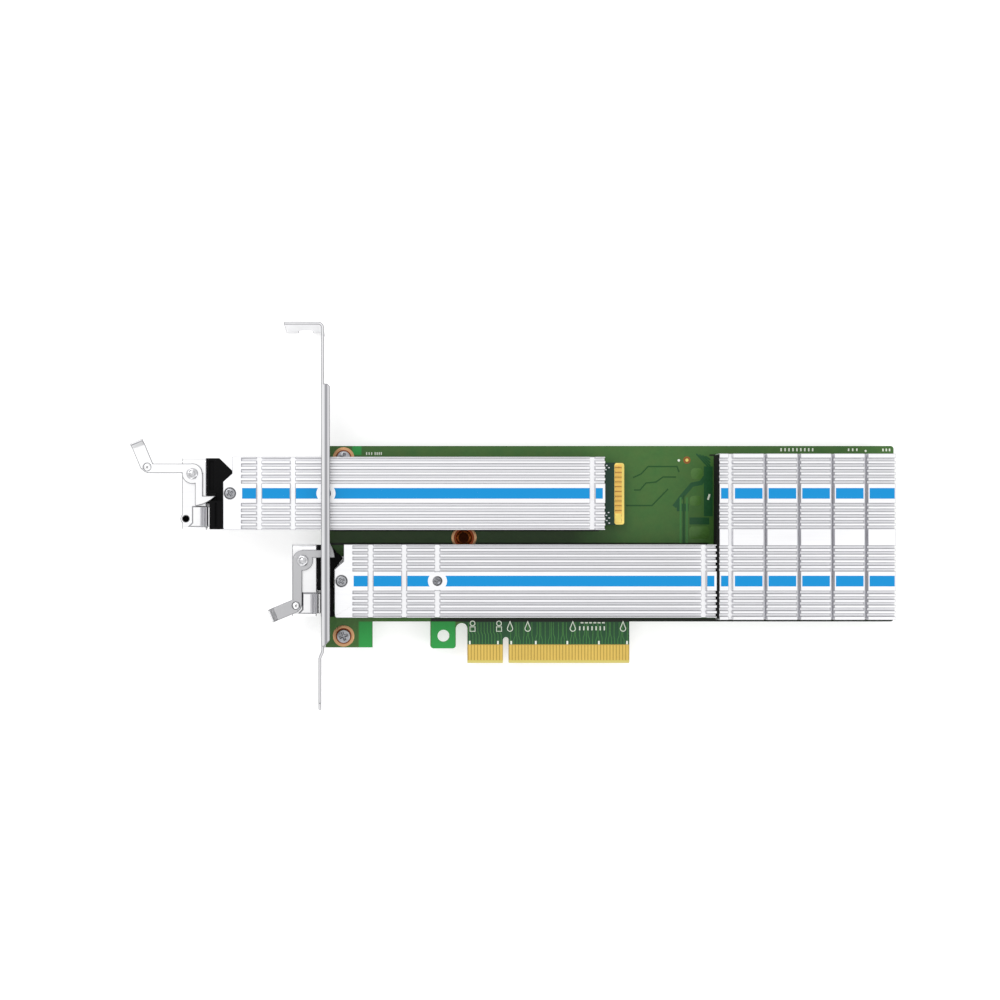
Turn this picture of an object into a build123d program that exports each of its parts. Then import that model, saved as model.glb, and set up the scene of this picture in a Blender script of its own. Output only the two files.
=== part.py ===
# Drive adapter card with two slide-in module sleds, in millimetres.
# X runs along the card away from the bracket, Y runs up from the edge connector and
# Z comes out of the component side. The origin is on the centre line of the connector's
# key, at the lower edge of the board, in the face of the component side.
# Sled pieces are drawn fully home on a lane whose centre line is Y = 0, and then placed.

import os
from math import cos, hypot, radians, sin, sqrt

from build123d import *

os.makedirs("parts", exist_ok=True)

# Circuit board
board_thickness = 1.57
board_left = -57.15
board_right = 122.98
board_top = 68.90
board_foot = 13.20
board_corner = 1.0
board_back = -board_thickness
left_tab_right = -42.30
left_tab_foot = 4.98
hook_tab_left = -23.94
hook_tab_right = -15.91
hook_tab_foot = 4.66
hook_hole = (-19.80, 8.66)
hook_hole_radius = 1.90
relief_top = 12.70

# Edge connector, eight lanes wide
edge_left = -12.15
edge_right = 39.15
key_width = 1.90
key_depth = 8.25
edge_bevel = 0.45
finger_pitch = 1.00
finger_width = 0.70
finger_foot = 0.95
finger_top = 5.77
finger_thickness = 0.05
fingers_left = 11
fingers_right = 38
key_to_finger = 1.50

# Lanes of the two sleds
upper_lane = 53.64
lower_lane = 26.50
sled_width = 22.65
upper_sled_out = 34.50

# Bracket, full height, one folded sheet
bracket_sheet = 0.86
bracket_gap = 0.39
bracket_width = 18.42
bracket_height = 120.02
bracket_top = 106.23
tab_length = 11.43
tab_width = 21.59
notch_width = 4.42
notch_depth = 6.50
notch_from_plate = 5.15
neck_width = 8.60
neck_foot = 87.25
neck_top = 104.20
plate_foot = 6.60
tongue_width = 10.19
tongue_step = 0.90
tongue_chamfer = 2.40
flange_reach = 1.84
bend_radius = 1.30
ear_length = 11.00
ear_width = 7.60
bracket_inner = board_left - bracket_gap
bracket_outer = bracket_inner - bracket_sheet
bracket_back = board_back - bracket_sheet
bracket_front = bracket_back + bracket_width

# Bracket screws, and what all small fasteners share
small_flats = 12
head_bevel = 0.30
bracket_screw_spots = [(-51.50, 8.63), (-51.50, 65.10)]
screw_tap_radius = 1.25
screw_pass_radius = 1.60
bracket_head_radius = 2.15
bracket_head_height = 1.80
running_gap = 0.03
spare_hole = (-13.30, 39.75)
spare_hole_radius = 2.75
spare_ring_radius = 4.00

# Guide rails under the sleds
rail_base = 0.50
rail_wall = 0.80
rail_height = 2.20
rail_left = -47.50
rail_right = 28.00
rail_side_gap = 0.20
peg_radius = 1.00
peg_spots = [-40.00, 20.00]
peg_length = 2.20
ring_relief = 0.50

# Stack of a sled, from the board outwards
tray_lift = 0.30
tray_sheet = 0.80
module_lift = 1.60
module_thickness = 0.80
chip_height = 1.40
pad_height = 1.00
cover_thickness = 5.60
groove_depth = 1.20
floor_back = rail_base + tray_lift
floor_front = floor_back + tray_sheet
module_back = floor_front + module_lift
module_front = module_back + module_thickness
cover_back = module_front + chip_height + pad_height
cover_front = cover_back + cover_thickness
groove_floor = cover_front - groove_depth

# Bracket windows that the sleds pass through
window_side_gap = 0.42
window_back = 0.35
window_front = cover_front + 0.40
window_half = sled_width / 2 + window_side_gap

# Front tray of a sled
tray_floor_width = 15.00
platform_front = 6.20
platform_back = platform_front - tray_sheet
tray_bend = 1.60
tray_fold = 1.00
tray_reach = 3.30
tray_gap = 1.60
tray_right = 62.00
tray_lip = 2.60
boss_height = 0.70
boss_gap = 0.20
boss_from_pivot = 0.05
boss_top_edge = -4.05
lock_ear_radius = 1.75
lock_hole_radius = 1.00

# Latch lever, drawn latched, with its pivot at the origin
pivot_back_off = 6.76
pivot_rise = 6.25
pivot_radius = 1.20
pivot_running_gap = 0.05
pivot_head_radius = 1.85
pivot_head_height = 0.75
pivot_head_gap = 0.10
pivot_tail = 0.50
lever_gap = 0.15
lever_sheet = 1.00
hub_radius = 3.20
arm_width = 3.00
arm_offset = 1.65
lock_hole_along = 14.10
lock_hole_across = 2.09
lock_pass_radius = 1.15
finger_tab_length = 8.90
finger_tab_width = 4.20
finger_tab_turn = 22.50
finger_lip_length = 2.20
finger_lip_rise = 1.60
finger_bend = 0.90
hook_clearance = 0.20
hook_grip = 1.83
claw_arm_near = 0.84
claw_arm_far = 3.28
pivot_x = bracket_inner - pivot_back_off
lever_back = platform_front + lever_gap
lever_front = lever_back + lever_sheet
hook_face = pivot_back_off + hook_clearance
hook_tip = window_half - pivot_rise + hook_grip
claw_radius = hypot(hook_face, hook_tip)

# Finned cover of a sled
claw_clearance = 0.28
notch_drop = 2.65
notch_run = 2.82
notch_climb = 2.50
fins_from_left = 5.60
groove_pitch = 1.75
groove_width = 0.90
first_groove = 3.50
grooves_a_side = 5
channel_width = 1.60
channel_spots = [-43.14, -32.72, -22.45, 60.06]
boss_spot = -22.45
boss_radius = 2.95
boss_bore = 1.45
boss_seat = 8.00
plate_screw_from_left = 2.10
cover_corner = 0.80
cover_left = pivot_x + sqrt((claw_radius + claw_clearance) ** 2 - notch_drop**2)
fins_left = cover_left + fins_from_left
plate_screw_x = cover_left + plate_screw_from_left

# Fixed heatsink block over the sockets and the switch chip
block_left = 64.80
block_end_inset = 3.60
block_foot_inset = 0.70
block_top_inset = 1.00
block_channel_in = 3.50
block_channel_width = 1.30
block_slots = 4
block_first_slot = 14.23
block_last_slot = 9.10
block_slot_width = 1.00
block_slot_depth = 2.20
block_post_left_in = 17.20
block_post_right_in = 5.15
block_post_side_in = 4.30
block_post_radius = 2.20
block_tap_radius = 1.00
block_pass_gap = 0.30
block_tap_depth = 5.00
block_head_radius = 2.00
block_head_height = 1.20
block_shank_in = 3.50
sled_end_gap = 0.80
bumper_thickness = 0.60
bumper_back = 7.00
bumper_front = 11.60
cover_right = block_left - sled_end_gap
block_right = board_right - block_end_inset
block_foot = lower_lane - sled_width / 2 - block_foot_inset
block_top = upper_lane + sled_width / 2 + block_top_inset
block_post_columns = (block_left + block_post_left_in, block_right - block_post_right_in)
block_post_rows = (block_foot + block_post_side_in, block_top - block_post_side_in)
block_post_spots = [(x, y) for x in block_post_columns for y in block_post_rows]

# Screws of the sleds
small_shank_radius = 0.95
small_head_radius = 1.65
small_head_height = 1.00
boss_head_radius = 1.35
standoff_radius = 1.70
low_standoff_radius = 2.30
shank_pass_gap = 0.15
head_pass_gap = 0.12
head_sunk = 0.10
shank_in = 2.50
module_head_radius = 2.30
module_head_height = 0.90
module_shank_in = 1.30

# Drive module, 22 wide and 80 long
module_tip = 71.30
module_length = 80.00
module_width = 22.00
tongue_board_width = 19.60
tongue_board_length = 7.50
module_notch_radius = 1.75
module_finger_length = 2.90
module_finger_inset = 0.25
module_left = module_tip - module_length
memory_chips_in = (12.70, 27.70)
memory_chip_size = (11.00, 18.00)
buffer_chip_in = 33.30
buffer_chip_size = (8.00, 12.00)
control_chip_in = 17.30
control_chip_size = 14.00
pad_near_in = 6.20
pad_far_in = 9.80
pad_width = 19.00

# Sockets that the modules plug into
socket_grip = 4.30
socket_depth = 8.80
socket_width = 21.90
socket_height = 5.20
socket_slot_gap = 0.20
socket_left = module_tip - socket_grip
socket_right = socket_left + socket_depth

# Parts soldered under the block
switch_size = 23.0
switch_height = 1.90
switch_pad_height = 1.00
switch_centre = (sum(block_post_columns) / 2, sum(block_post_rows) / 2)
regulator_size = (6.00, 5.00)
regulator_gap = 8.00
capacitor_size = (1.20, 2.00)
capacitor_gap = 3.00
capacitor_pitch = 5.00
capacitors_a_side = 4
back_capacitor_size = (1.00, 0.60)
back_capacitor_pitch = 4.00
back_capacitors_a_row = 4
small_part_height = 1.00
back_capacitor_height = 0.55

lanes = {"upper": upper_lane, "lower": lower_lane}
home_offset = {"upper": -upper_sled_out, "lower": 0.0}
lever_turn = {"upper": -90.0, "lower": 0.0}


def span(x0, x1, y0, y1, mode=Mode.ADD):
    """A rectangle between two X and two Y limits, in the sketch that is open."""
    with Locations(((x0 + x1) / 2, (y0 + y1) / 2)):
        Rectangle(x1 - x0, y1 - y0, mode=mode)


def level(z):
    """The plane parallel to the board at height z."""
    return Plane.XY.offset(z)


def small_round(radius, mode=Mode.ADD):
    """A small fastener's round or its hole, drawn with a few flats, in the sketch that is open."""
    RegularPolygon(radius, small_flats, mode=mode)


def pan_screw(head_radius, head_height, shank_radius, shank_length):
    """A screw whose head sits on Z = 0, with its shank below."""
    with BuildPart() as screw:
        with BuildSketch(level(0)):
            small_round(head_radius)
        extrude(amount=head_height)
        chamfer(screw.edges().group_by(Axis.Z)[-1], head_height * head_bevel)
        with BuildSketch(level(0)):
            small_round(shank_radius)
        extrude(amount=-shank_length)
    return screw.part


def save(part, name):
    """Label a finished piece and write its file."""
    part.label = name
    export_step(part, f"parts/{name}.step")


def save_in_lanes(part, name):
    """Write one copy of a sled piece for each lane, where its sled stands."""
    for lane, lane_y in lanes.items():
        place = Location((home_offset[lane], lane_y, 0))
        save(part.moved(place), f"{lane}_{name}")


# Circuit board: main outline, bracket tab, hook tab and connector blade
with BuildPart() as board:
    with BuildSketch(level(board_back)) as board_outline:
        span(board_left, board_right, board_foot, board_top)
        fillet(board_outline.vertices().group_by(Axis.X)[-1], board_corner)
        span(board_left, left_tab_right, left_tab_foot, board_foot + 1)
        span(hook_tab_left, hook_tab_right, hook_tab_foot, board_foot + 1)
        fillet(board_outline.vertices().filter_by_position(Axis.Y, hook_tab_foot - 0.1, hook_tab_foot + 0.1), board_corner)
        span(edge_left, edge_right, 0, board_foot + 1)
        relief_radius = (edge_left - hook_tab_right) / 2
        span(hook_tab_right, edge_left, relief_top - relief_radius, board_foot + 1)
        with Locations(((hook_tab_right + edge_left) / 2, relief_top - relief_radius)):
            Circle(relief_radius, mode=Mode.SUBTRACT)
        span(hook_tab_right, edge_left, hook_tab_foot - 1, relief_top - relief_radius, Mode.SUBTRACT)
        with Locations((0, key_depth - key_width / 2)):
            Circle(key_width / 2, mode=Mode.SUBTRACT)
        span(-key_width / 2, key_width / 2, -1, key_depth - key_width / 2, Mode.SUBTRACT)
        with Locations(hook_hole):
            Circle(hook_hole_radius, mode=Mode.SUBTRACT)
        with Locations(spare_hole):
            Circle(spare_hole_radius, mode=Mode.SUBTRACT)
        with Locations(*bracket_screw_spots):
            small_round(screw_pass_radius, Mode.SUBTRACT)
        with Locations(*block_post_spots):
            small_round(block_tap_radius + block_pass_gap, Mode.SUBTRACT)
        with Locations(*[(x, y) for x in peg_spots for y in lanes.values()]):
            small_round(peg_radius + running_gap, Mode.SUBTRACT)
    extrude(amount=board_thickness)
    blade_edges = board.edges().filter_by(Axis.X).group_by(Axis.Y)[0]
    chamfer(blade_edges, edge_bevel)

board.part.label = "circuit_board"
export_step(board.part, "parts/circuit_board.step")

# Gold fingers on both faces of the connector blade
finger_places = [-key_to_finger - i * finger_pitch for i in range(fingers_left)]
finger_places += [key_to_finger + i * finger_pitch for i in range(fingers_right)]
finger_middle = (finger_foot + finger_top) / 2
with BuildPart() as edge_fingers:
    for face_z, grow in ((0, finger_thickness), (board_back, -finger_thickness)):
        with BuildSketch(level(face_z)):
            with Locations(*[(x, finger_middle) for x in finger_places]):
                Rectangle(finger_width, finger_top - finger_foot)
        extrude(amount=grow)

edge_fingers.part.label = "edge_fingers"
export_step(edge_fingers.part, "parts/edge_fingers.step")

# Bracket: the folded strip, cut to its side outline, with the flange and the board ears
tab_back = bracket_front - tab_width
sheet_middle = (bracket_inner + bracket_outer) / 2
tab_middle = bracket_top - bracket_sheet / 2
tongue_tip = bracket_top - bracket_height
tongue_middle = sheet_middle - tongue_step
tongue_z = (bracket_back + bracket_front) / 2
with BuildPart() as bracket:
    with BuildSketch(level(tab_back)):
        with BuildLine():
            FilletPolyline(
                (bracket_outer - tab_length, tab_middle),
                (sheet_middle, tab_middle),
                (sheet_middle, plate_foot - 2.0),
                (tongue_middle, plate_foot - 4.0),
                (tongue_middle, tongue_tip),
                radius=[bend_radius, bend_radius, bend_radius],
            )
        trace(line_width=bracket_sheet)
    extrude(amount=tab_width)
    with BuildSketch(Plane.YZ) as side_outline:
        span(neck_top, bracket_top + 1, tab_back, bracket_front)
        span(neck_foot - 1, neck_top + 1, bracket_front - neck_width, bracket_front)
        span(plate_foot, neck_foot, bracket_back, bracket_front)
        with BuildLine():
            tongue_low = tongue_z - tongue_width / 2
            tongue_high = tongue_z + tongue_width / 2
            Polyline(
                (plate_foot + 1, tongue_low),
                (tongue_tip + tongue_chamfer, tongue_low),
                (tongue_tip, tongue_low + tongue_chamfer),
                (tongue_tip, tongue_high - tongue_chamfer),
                (tongue_tip + tongue_chamfer, tongue_high),
                (plate_foot + 1, tongue_high),
                close=True,
            )
        make_face()
        for lane_y in lanes.values():
            span(lane_y - window_half, lane_y + window_half, window_back, window_front, Mode.SUBTRACT)
    extrude(amount=200, both=True, mode=Mode.INTERSECT)
    with BuildSketch(level(bracket_front - bracket_sheet)):
        with BuildLine():
            Polyline(
                (bracket_outer, plate_foot),
                (bracket_inner, plate_foot),
                (bracket_inner + flange_reach, plate_foot + flange_reach),
                (bracket_inner + flange_reach, neck_foot - 0.8),
                (bracket_inner + flange_reach - 0.8, neck_foot),
                (bracket_outer, neck_foot),
                close=True,
            )
        make_face()
    extrude(amount=bracket_sheet)
    with BuildSketch(level(bracket_back)) as ear_outline:
        for ear_x, ear_y in bracket_screw_spots:
            span(bracket_outer, bracket_inner + ear_length, ear_y - ear_width / 2, ear_y + ear_width / 2)
        fillet(ear_outline.vertices().group_by(Axis.X)[-1], 1.5)
        with Locations(*bracket_screw_spots):
            small_round(screw_tap_radius, Mode.SUBTRACT)
    extrude(amount=bracket_sheet)
    with BuildSketch(Plane.XZ) as notch_outline:
        with Locations((bracket_outer - notch_from_plate, tab_back + notch_depth - notch_width / 2)):
            Circle(notch_width / 2)
        span(
            bracket_outer - notch_from_plate - notch_width / 2,
            bracket_outer - notch_from_plate + notch_width / 2,
            tab_back - 1,
            tab_back + notch_depth - notch_width / 2,
        )
    extrude(amount=200, both=True, mode=Mode.SUBTRACT)

bracket.part.label = "bracket"
export_step(bracket.part, "parts/bracket.step")

# Two screws that hold the board to the bracket's ears
bracket_screw = pan_screw(
    bracket_head_radius, bracket_head_height, screw_tap_radius - running_gap, board_thickness + 1.6
)
with BuildPart() as bracket_screws:
    with Locations(*bracket_screw_spots):
        add(bracket_screw)

bracket_screws.part.label = "bracket_screws"
export_step(bracket_screws.part, "parts/bracket_screws.step")

# Guide rails: shallow channels pegged to the board, cut back round the spare hole's ring
rail_inner = tray_floor_width / 2 + rail_side_gap
rail_outer = rail_inner + rail_wall
for lane, lane_y in lanes.items():
    with BuildPart() as rail:
        with BuildSketch(level(0)):
            span(rail_left, rail_right, lane_y - rail_outer, lane_y + rail_outer)
            with Locations(spare_hole):
                Circle(spare_ring_radius + ring_relief, mode=Mode.SUBTRACT)
        extrude(amount=rail_height)
        with BuildSketch(level(rail_base)):
            span(rail_left, rail_right, lane_y - rail_inner, lane_y + rail_inner)
        extrude(amount=rail_height, mode=Mode.SUBTRACT)
        with BuildSketch(level(0)):
            with Locations(*[(x, lane_y) for x in peg_spots]):
                small_round(peg_radius)
        extrude(amount=-peg_length)
    save(rail.part, f"{lane}_guide")

# Sockets: a block with a slot for the module's tongue
slot_back = module_back - socket_slot_gap
slot_front = module_front + socket_slot_gap
slot_half = tongue_board_width / 2 + socket_slot_gap
with BuildPart() as socket:
    with BuildSketch(level(0)):
        span(socket_left, socket_right, -socket_width / 2, socket_width / 2)
    extrude(amount=socket_height)
    with BuildSketch(level(slot_back)):
        span(socket_left - 1, module_tip + socket_slot_gap, -slot_half, slot_half)
    extrude(amount=slot_front - slot_back, mode=Mode.SUBTRACT)
for lane, lane_y in lanes.items():
    save(socket.part.moved(Location((0, lane_y, 0))), f"{lane}_socket")


def cut_grooves(x0, x1, centre_y):
    """Sketch the long grooves of one lane between two X limits."""
    for side in (-1, 1):
        for i in range(grooves_a_side):
            y = centre_y + side * (first_groove + i * groove_pitch)
            span(x0, x1, y - groove_width / 2, y + groove_width / 2)


# Fixed heatsink block: fins of both lanes, four cross slots, a pedestal and four posts
pedestal_back = switch_height + switch_pad_height
slot_start = block_left + block_first_slot
slot_step = (block_right - block_last_slot - slot_start) / (block_slots - 1)
with BuildPart() as block:
    with BuildSketch(level(cover_back)):
        span(block_left, block_right, block_foot, block_top)
    extrude(amount=cover_thickness)
    with BuildSketch(level(cover_front)):
        for lane_y in lanes.values():
            cut_grooves(block_left - 1, block_right + 1, lane_y)
        channel_start = block_left + block_channel_in - block_channel_width / 2
        span(channel_start, channel_start + block_channel_width, block_foot - 1, block_top + 1)
    extrude(amount=-groove_depth, mode=Mode.SUBTRACT)
    with BuildSketch(level(cover_front)):
        for i in range(block_slots):
            x = slot_start + i * slot_step
            span(x - block_slot_width / 2, x + block_slot_width / 2, block_foot - 1, block_top + 1)
    extrude(amount=-block_slot_depth, mode=Mode.SUBTRACT)
    with BuildSketch(level(pedestal_back)):
        with Locations(switch_centre):
            Rectangle(switch_size, switch_size)
    extrude(amount=cover_back - pedestal_back)
    with BuildSketch(level(0)):
        with Locations(*block_post_spots):
            small_round(block_post_radius)
    extrude(amount=cover_back)
    with BuildSketch(level(0)):
        with Locations(*block_post_spots):
            small_round(block_tap_radius)
    extrude(amount=block_tap_depth, mode=Mode.SUBTRACT)

block.part.label = "fixed_heatsink"
export_step(block.part, "parts/fixed_heatsink.step")

# Screws from the solder side into the block's posts
block_screw = pan_screw(
    block_head_radius, block_head_height, block_tap_radius - running_gap, board_thickness + block_shank_in
)
with BuildPart() as block_screws:
    with Locations(*[Location((x, y, board_back), (180, 0, 0)) for x, y in block_post_spots]):
        add(block_screw)

block_screws.part.label = "block_screws"
export_step(block_screws.part, "parts/block_screws.step")

# Black strip on the block's end, where the covers of the sleds come to rest
with BuildPart() as bumper:
    with BuildSketch(level(bumper_back)):
        span(block_left - bumper_thickness, block_left, block_foot + 0.4, block_top - 0.4)
    extrude(amount=bumper_front - bumper_back)

bumper.part.label = "bumper_strip"
export_step(bumper.part, "parts/bumper_strip.step")

# Switch chip, its thermal pad and the small parts round it
with BuildPart() as switch_chip:
    with BuildSketch(level(0)):
        with Locations(switch_centre):
            Rectangle(switch_size, switch_size)
    extrude(amount=switch_height)
    chamfer(switch_chip.edges().group_by(Axis.Z)[-1], 0.4)

switch_chip.part.label = "switch_chip"
export_step(switch_chip.part, "parts/switch_chip.step")

with BuildPart() as switch_pad:
    with BuildSketch(level(switch_height)):
        with Locations(switch_centre):
            Rectangle(switch_size - 2, switch_size - 2)
    extrude(amount=switch_pad_height)

switch_pad.part.label = "switch_pad"
export_step(switch_pad.part, "parts/switch_pad.step")

with BuildPart() as regulators:
    with BuildSketch(level(0)):
        with Locations(switch_centre):
            with GridLocations(0, switch_size + 2 * regulator_gap + regulator_size[1], 1, 2):
                Rectangle(*regulator_size)
    extrude(amount=small_part_height)

regulators.part.label = "regulators"
export_step(regulators.part, "parts/regulators.step")

with BuildPart() as capacitors:
    with BuildSketch(level(0)):
        with Locations(switch_centre):
            with GridLocations(switch_size + 2 * capacitor_gap, capacitor_pitch, 2, capacitors_a_side):
                Rectangle(*capacitor_size)
    extrude(amount=small_part_height)
    with BuildSketch(level(board_back)):
        with Locations(switch_centre):
            with GridLocations(
                back_capacitor_pitch, back_capacitor_pitch, back_capacitors_a_row, back_capacitors_a_row
            ):
                Rectangle(*back_capacitor_size)
    extrude(amount=-back_capacitor_height)

capacitors.part.label = "capacitors"
export_step(capacitors.part, "parts/capacitors.step")

# Sled tray: a narrow floor that runs in the guide, folded up in front of the bracket
# into a side wall and the platform that carries the lever
tray_left = pivot_x - tray_reach
platform_right = bracket_outer - tray_gap
boss_right = bracket_outer - boss_gap
wall_middle = (sled_width - tray_sheet) / 2
lock_x = pivot_x - lock_hole_across
lock_y = pivot_rise - lock_hole_along
stand_spots = [(plate_screw_x, 0), (boss_spot, 0)]
with BuildPart() as tray:
    with BuildSketch(Plane.YZ.offset(tray_left)):
        with BuildLine():
            FilletPolyline(
                (-wall_middle, (floor_back + floor_front) / 2),
                (wall_middle, (floor_back + floor_front) / 2),
                (wall_middle, (platform_back + platform_front) / 2),
                (-wall_middle, (platform_back + platform_front) / 2),
                (-wall_middle, platform_back - tray_lip),
                radius=[tray_bend - tray_sheet / 2] * 2 + [tray_fold - tray_sheet / 2],
            )
        trace(line_width=tray_sheet)
    extrude(amount=platform_right - tray_left)
    with BuildSketch(level(floor_back)) as floor_outline:
        span(platform_right - 1, tray_right, -tray_floor_width / 2, tray_floor_width / 2)
        fillet(floor_outline.vertices().group_by(Axis.X)[-1], 1.5)
    extrude(amount=tray_sheet)
    with BuildSketch(level(platform_back)):
        with Locations((lock_x, lock_y)):
            Circle(lock_ear_radius)
    extrude(amount=tray_sheet)
    with BuildSketch(level(platform_back)):
        span(platform_right - 1, boss_right, tray_fold - sled_width / 2, boss_top_edge)
    extrude(amount=tray_sheet)
    with BuildSketch(level(platform_front)) as boss_outline:
        boss_left = pivot_x + boss_from_pivot
        boss_foot = tray_fold - sled_width / 2
        with BuildLine():
            Polyline(
                (boss_left, boss_top_edge),
                (boss_left, lock_y - 1.30),
                (boss_left - (lock_y - 1.30 - boss_foot), boss_foot),
                (boss_right, boss_foot),
                (boss_right, boss_top_edge),
                close=True,
            )
        make_face()
    extrude(amount=boss_height)
    with BuildSketch(level(platform_back)):
        with Locations((lock_x, lock_y)):
            Circle(lock_hole_radius)
        with Locations((pivot_x, pivot_rise)):
            small_round(pivot_radius + running_gap)
    extrude(amount=tray_sheet + boss_height + 1, mode=Mode.SUBTRACT)
save_in_lanes(tray.part, "tray")

# Standoffs pressed into the floor: two for the cover's screws and a low one for the module
with BuildPart() as standoffs:
    with BuildSketch(level(floor_front)):
        with Locations(*stand_spots):
            small_round(standoff_radius)
            small_round(small_shank_radius + running_gap, Mode.SUBTRACT)
    extrude(amount=cover_back - floor_front)
    with BuildSketch(level(floor_front)):
        with Locations((module_left, 0)):
            small_round(low_standoff_radius)
            small_round(small_shank_radius + running_gap, Mode.SUBTRACT)
    extrude(amount=module_lift)
save_in_lanes(standoffs.part, "standoffs")

# Black bezel that fills the bracket's window: a low part under the claw, a tall part beside it
bezel_left = bracket_outer - 1.50
bezel_shelf = bracket_outer - 0.14
bezel_right = cover_left - 0.25
bezel_half = sled_width / 2 - 0.20
bezel_low = platform_front - 0.10
bezel_tall = cover_front - 0.40
bezel_back = floor_front + 0.70
bezel_step = -2.30
bezel_point = bezel_right + notch_run
with BuildPart() as bezel:
    with BuildSketch(level(bezel_back)):
        with BuildLine():
            Polyline(
                (bezel_left, bezel_half),
                (bezel_right - 1.50, bezel_half),
                (bezel_point, pivot_rise + 0.65),
                (bezel_right, pivot_rise - notch_drop - 0.20),
                (bezel_right, -bezel_half + 1.0),
                (bezel_right + 0.70, -bezel_half),
                (bezel_shelf, -bezel_half),
                (bezel_shelf, bezel_step),
                (bezel_left + 3.20, bezel_step),
                (bezel_left + 3.20, 0.26),
                (bezel_left, 0.26),
                close=True,
            )
        make_face()
    extrude(amount=bezel_low - bezel_back)
    with BuildSketch(level(bezel_low)):
        span(bezel_shelf, bezel_right, -bezel_half, bezel_step)
    extrude(amount=bezel_tall - bezel_low)
    with BuildSketch(level(floor_front)):
        span(bezel_shelf, bezel_right, -tray_floor_width / 2 + 0.2, tray_floor_width / 2 - 0.2)
    extrude(amount=bezel_back - floor_front)
    with BuildSketch(level(bezel_low)):
        span(bezel_left + 0.90, bezel_left + 2.20, 1.20, bezel_half - 0.90)
    extrude(amount=-0.60, mode=Mode.SUBTRACT)
    with BuildSketch(level(bezel_tall)):
        span(bezel_shelf + 1.70, bezel_shelf + 2.30, -bezel_half + 0.80, bezel_step - 0.60)
    extrude(amount=-0.60, mode=Mode.SUBTRACT)
save_in_lanes(bezel.part, "bezel")

# Ribbed contact spring on the tray's boss: a thin sheet with two ridges along Y
spring_sheet = 0.20
spring_left = boss_right - 3.30
spring_back = platform_front + boss_height
with BuildPart() as contact_spring:
    with BuildSketch(Plane.XZ.offset(-(boss_top_edge - 0.15))):
        with BuildLine():
            Polyline(
                (spring_left, spring_back + spring_sheet / 2),
                (spring_left + 0.45, spring_back + spring_sheet / 2),
                (spring_left + 0.65, spring_back + 0.85),
                (spring_left + 1.10, spring_back + 0.85),
                (spring_left + 1.30, spring_back + 0.35),
                (spring_left + 1.50, spring_back + 0.85),
                (spring_left + 1.95, spring_back + 0.85),
                (spring_left + 2.15, spring_back + spring_sheet / 2),
                (spring_left + 2.60, spring_back + spring_sheet / 2),
            )
        trace(line_width=spring_sheet)
    extrude(amount=6.00)
save_in_lanes(contact_spring.part, "contact_spring")

# Finned cover: a plate end with its screw, a boss in the second channel, and open fins
cover_half = sled_width / 2
plate_seat = cover_front - small_head_height - head_sunk
with BuildPart() as cover:
    with BuildSketch(level(cover_back)) as cover_outline:
        with BuildLine():
            Polyline(
                (cover_left, -cover_half),
                (cover_right, -cover_half),
                (cover_right, cover_half),
                (cover_left + notch_run, cover_half),
                (cover_left + notch_run, pivot_rise - notch_drop + notch_climb),
                (cover_left, pivot_rise - notch_drop),
                close=True,
            )
        make_face()
        fillet(cover_outline.vertices().group_by(Axis.X)[0].sort_by(Axis.Y)[0], cover_corner)
    extrude(amount=cover_thickness)
    with BuildSketch(level(cover_front)):
        cut_grooves(fins_left, cover_right + 1, 0)
        for x in channel_spots:
            span(x - channel_width / 2, x + channel_width / 2, -cover_half - 1, cover_half + 1)
        with Locations((boss_spot, 0)):
            Circle(boss_radius, mode=Mode.SUBTRACT)
    extrude(amount=-groove_depth, mode=Mode.SUBTRACT)
    with BuildSketch(level(cover_back)):
        with Locations(*stand_spots):
            small_round(small_shank_radius + shank_pass_gap)
    extrude(amount=cover_thickness, mode=Mode.SUBTRACT)
    with BuildSketch(level(boss_seat)):
        with Locations((boss_spot, 0)):
            Circle(boss_bore)
    extrude(amount=cover_thickness, mode=Mode.SUBTRACT)
    with BuildSketch(level(plate_seat)):
        with Locations((plate_screw_x, 0)):
            small_round(small_head_radius + head_pass_gap)
    extrude(amount=cover_thickness, mode=Mode.SUBTRACT)
save_in_lanes(cover.part, "heatsink")

# Screws of the cover, one in the plate and a narrow one down in the boss
plate_screw = pan_screw(
    small_head_radius, small_head_height, small_shank_radius, plate_seat - cover_back + shank_in
)
boss_screw = pan_screw(
    boss_head_radius, small_head_height, small_shank_radius, boss_seat - cover_back + shank_in
)
with BuildPart() as cover_screws:
    with Locations((plate_screw_x, 0, plate_seat)):
        add(plate_screw)
    with Locations((boss_spot, 0, boss_seat)):
        add(boss_screw)
save_in_lanes(cover_screws.part, "cover_screws")

# Drive module: board with a narrower tongue and a half-round notch at its far end
with BuildPart() as module:
    with BuildSketch(level(module_back)) as module_outline:
        span(module_left, module_tip - tongue_board_length, -module_width / 2, module_width / 2)
        span(module_tip - tongue_board_length - 1, module_tip, -tongue_board_width / 2, tongue_board_width / 2)
        fillet(module_outline.vertices().group_by(Axis.X)[-1], 0.8)
        with Locations((module_left, 0)):
            Circle(module_notch_radius, mode=Mode.SUBTRACT)
    extrude(amount=module_thickness)
save_in_lanes(module.part, "module_board")

with BuildPart() as module_contacts:
    finger_end = module_tip - module_finger_inset
    for face_z, grow in ((module_front, finger_thickness), (module_back, -finger_thickness)):
        with BuildSketch(level(face_z)):
            contacts_half = tongue_board_width / 2 - module_finger_inset
            span(finger_end - module_finger_length, finger_end, -contacts_half, contacts_half)
        extrude(amount=grow)
save_in_lanes(module_contacts.part, "module_fingers")

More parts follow.
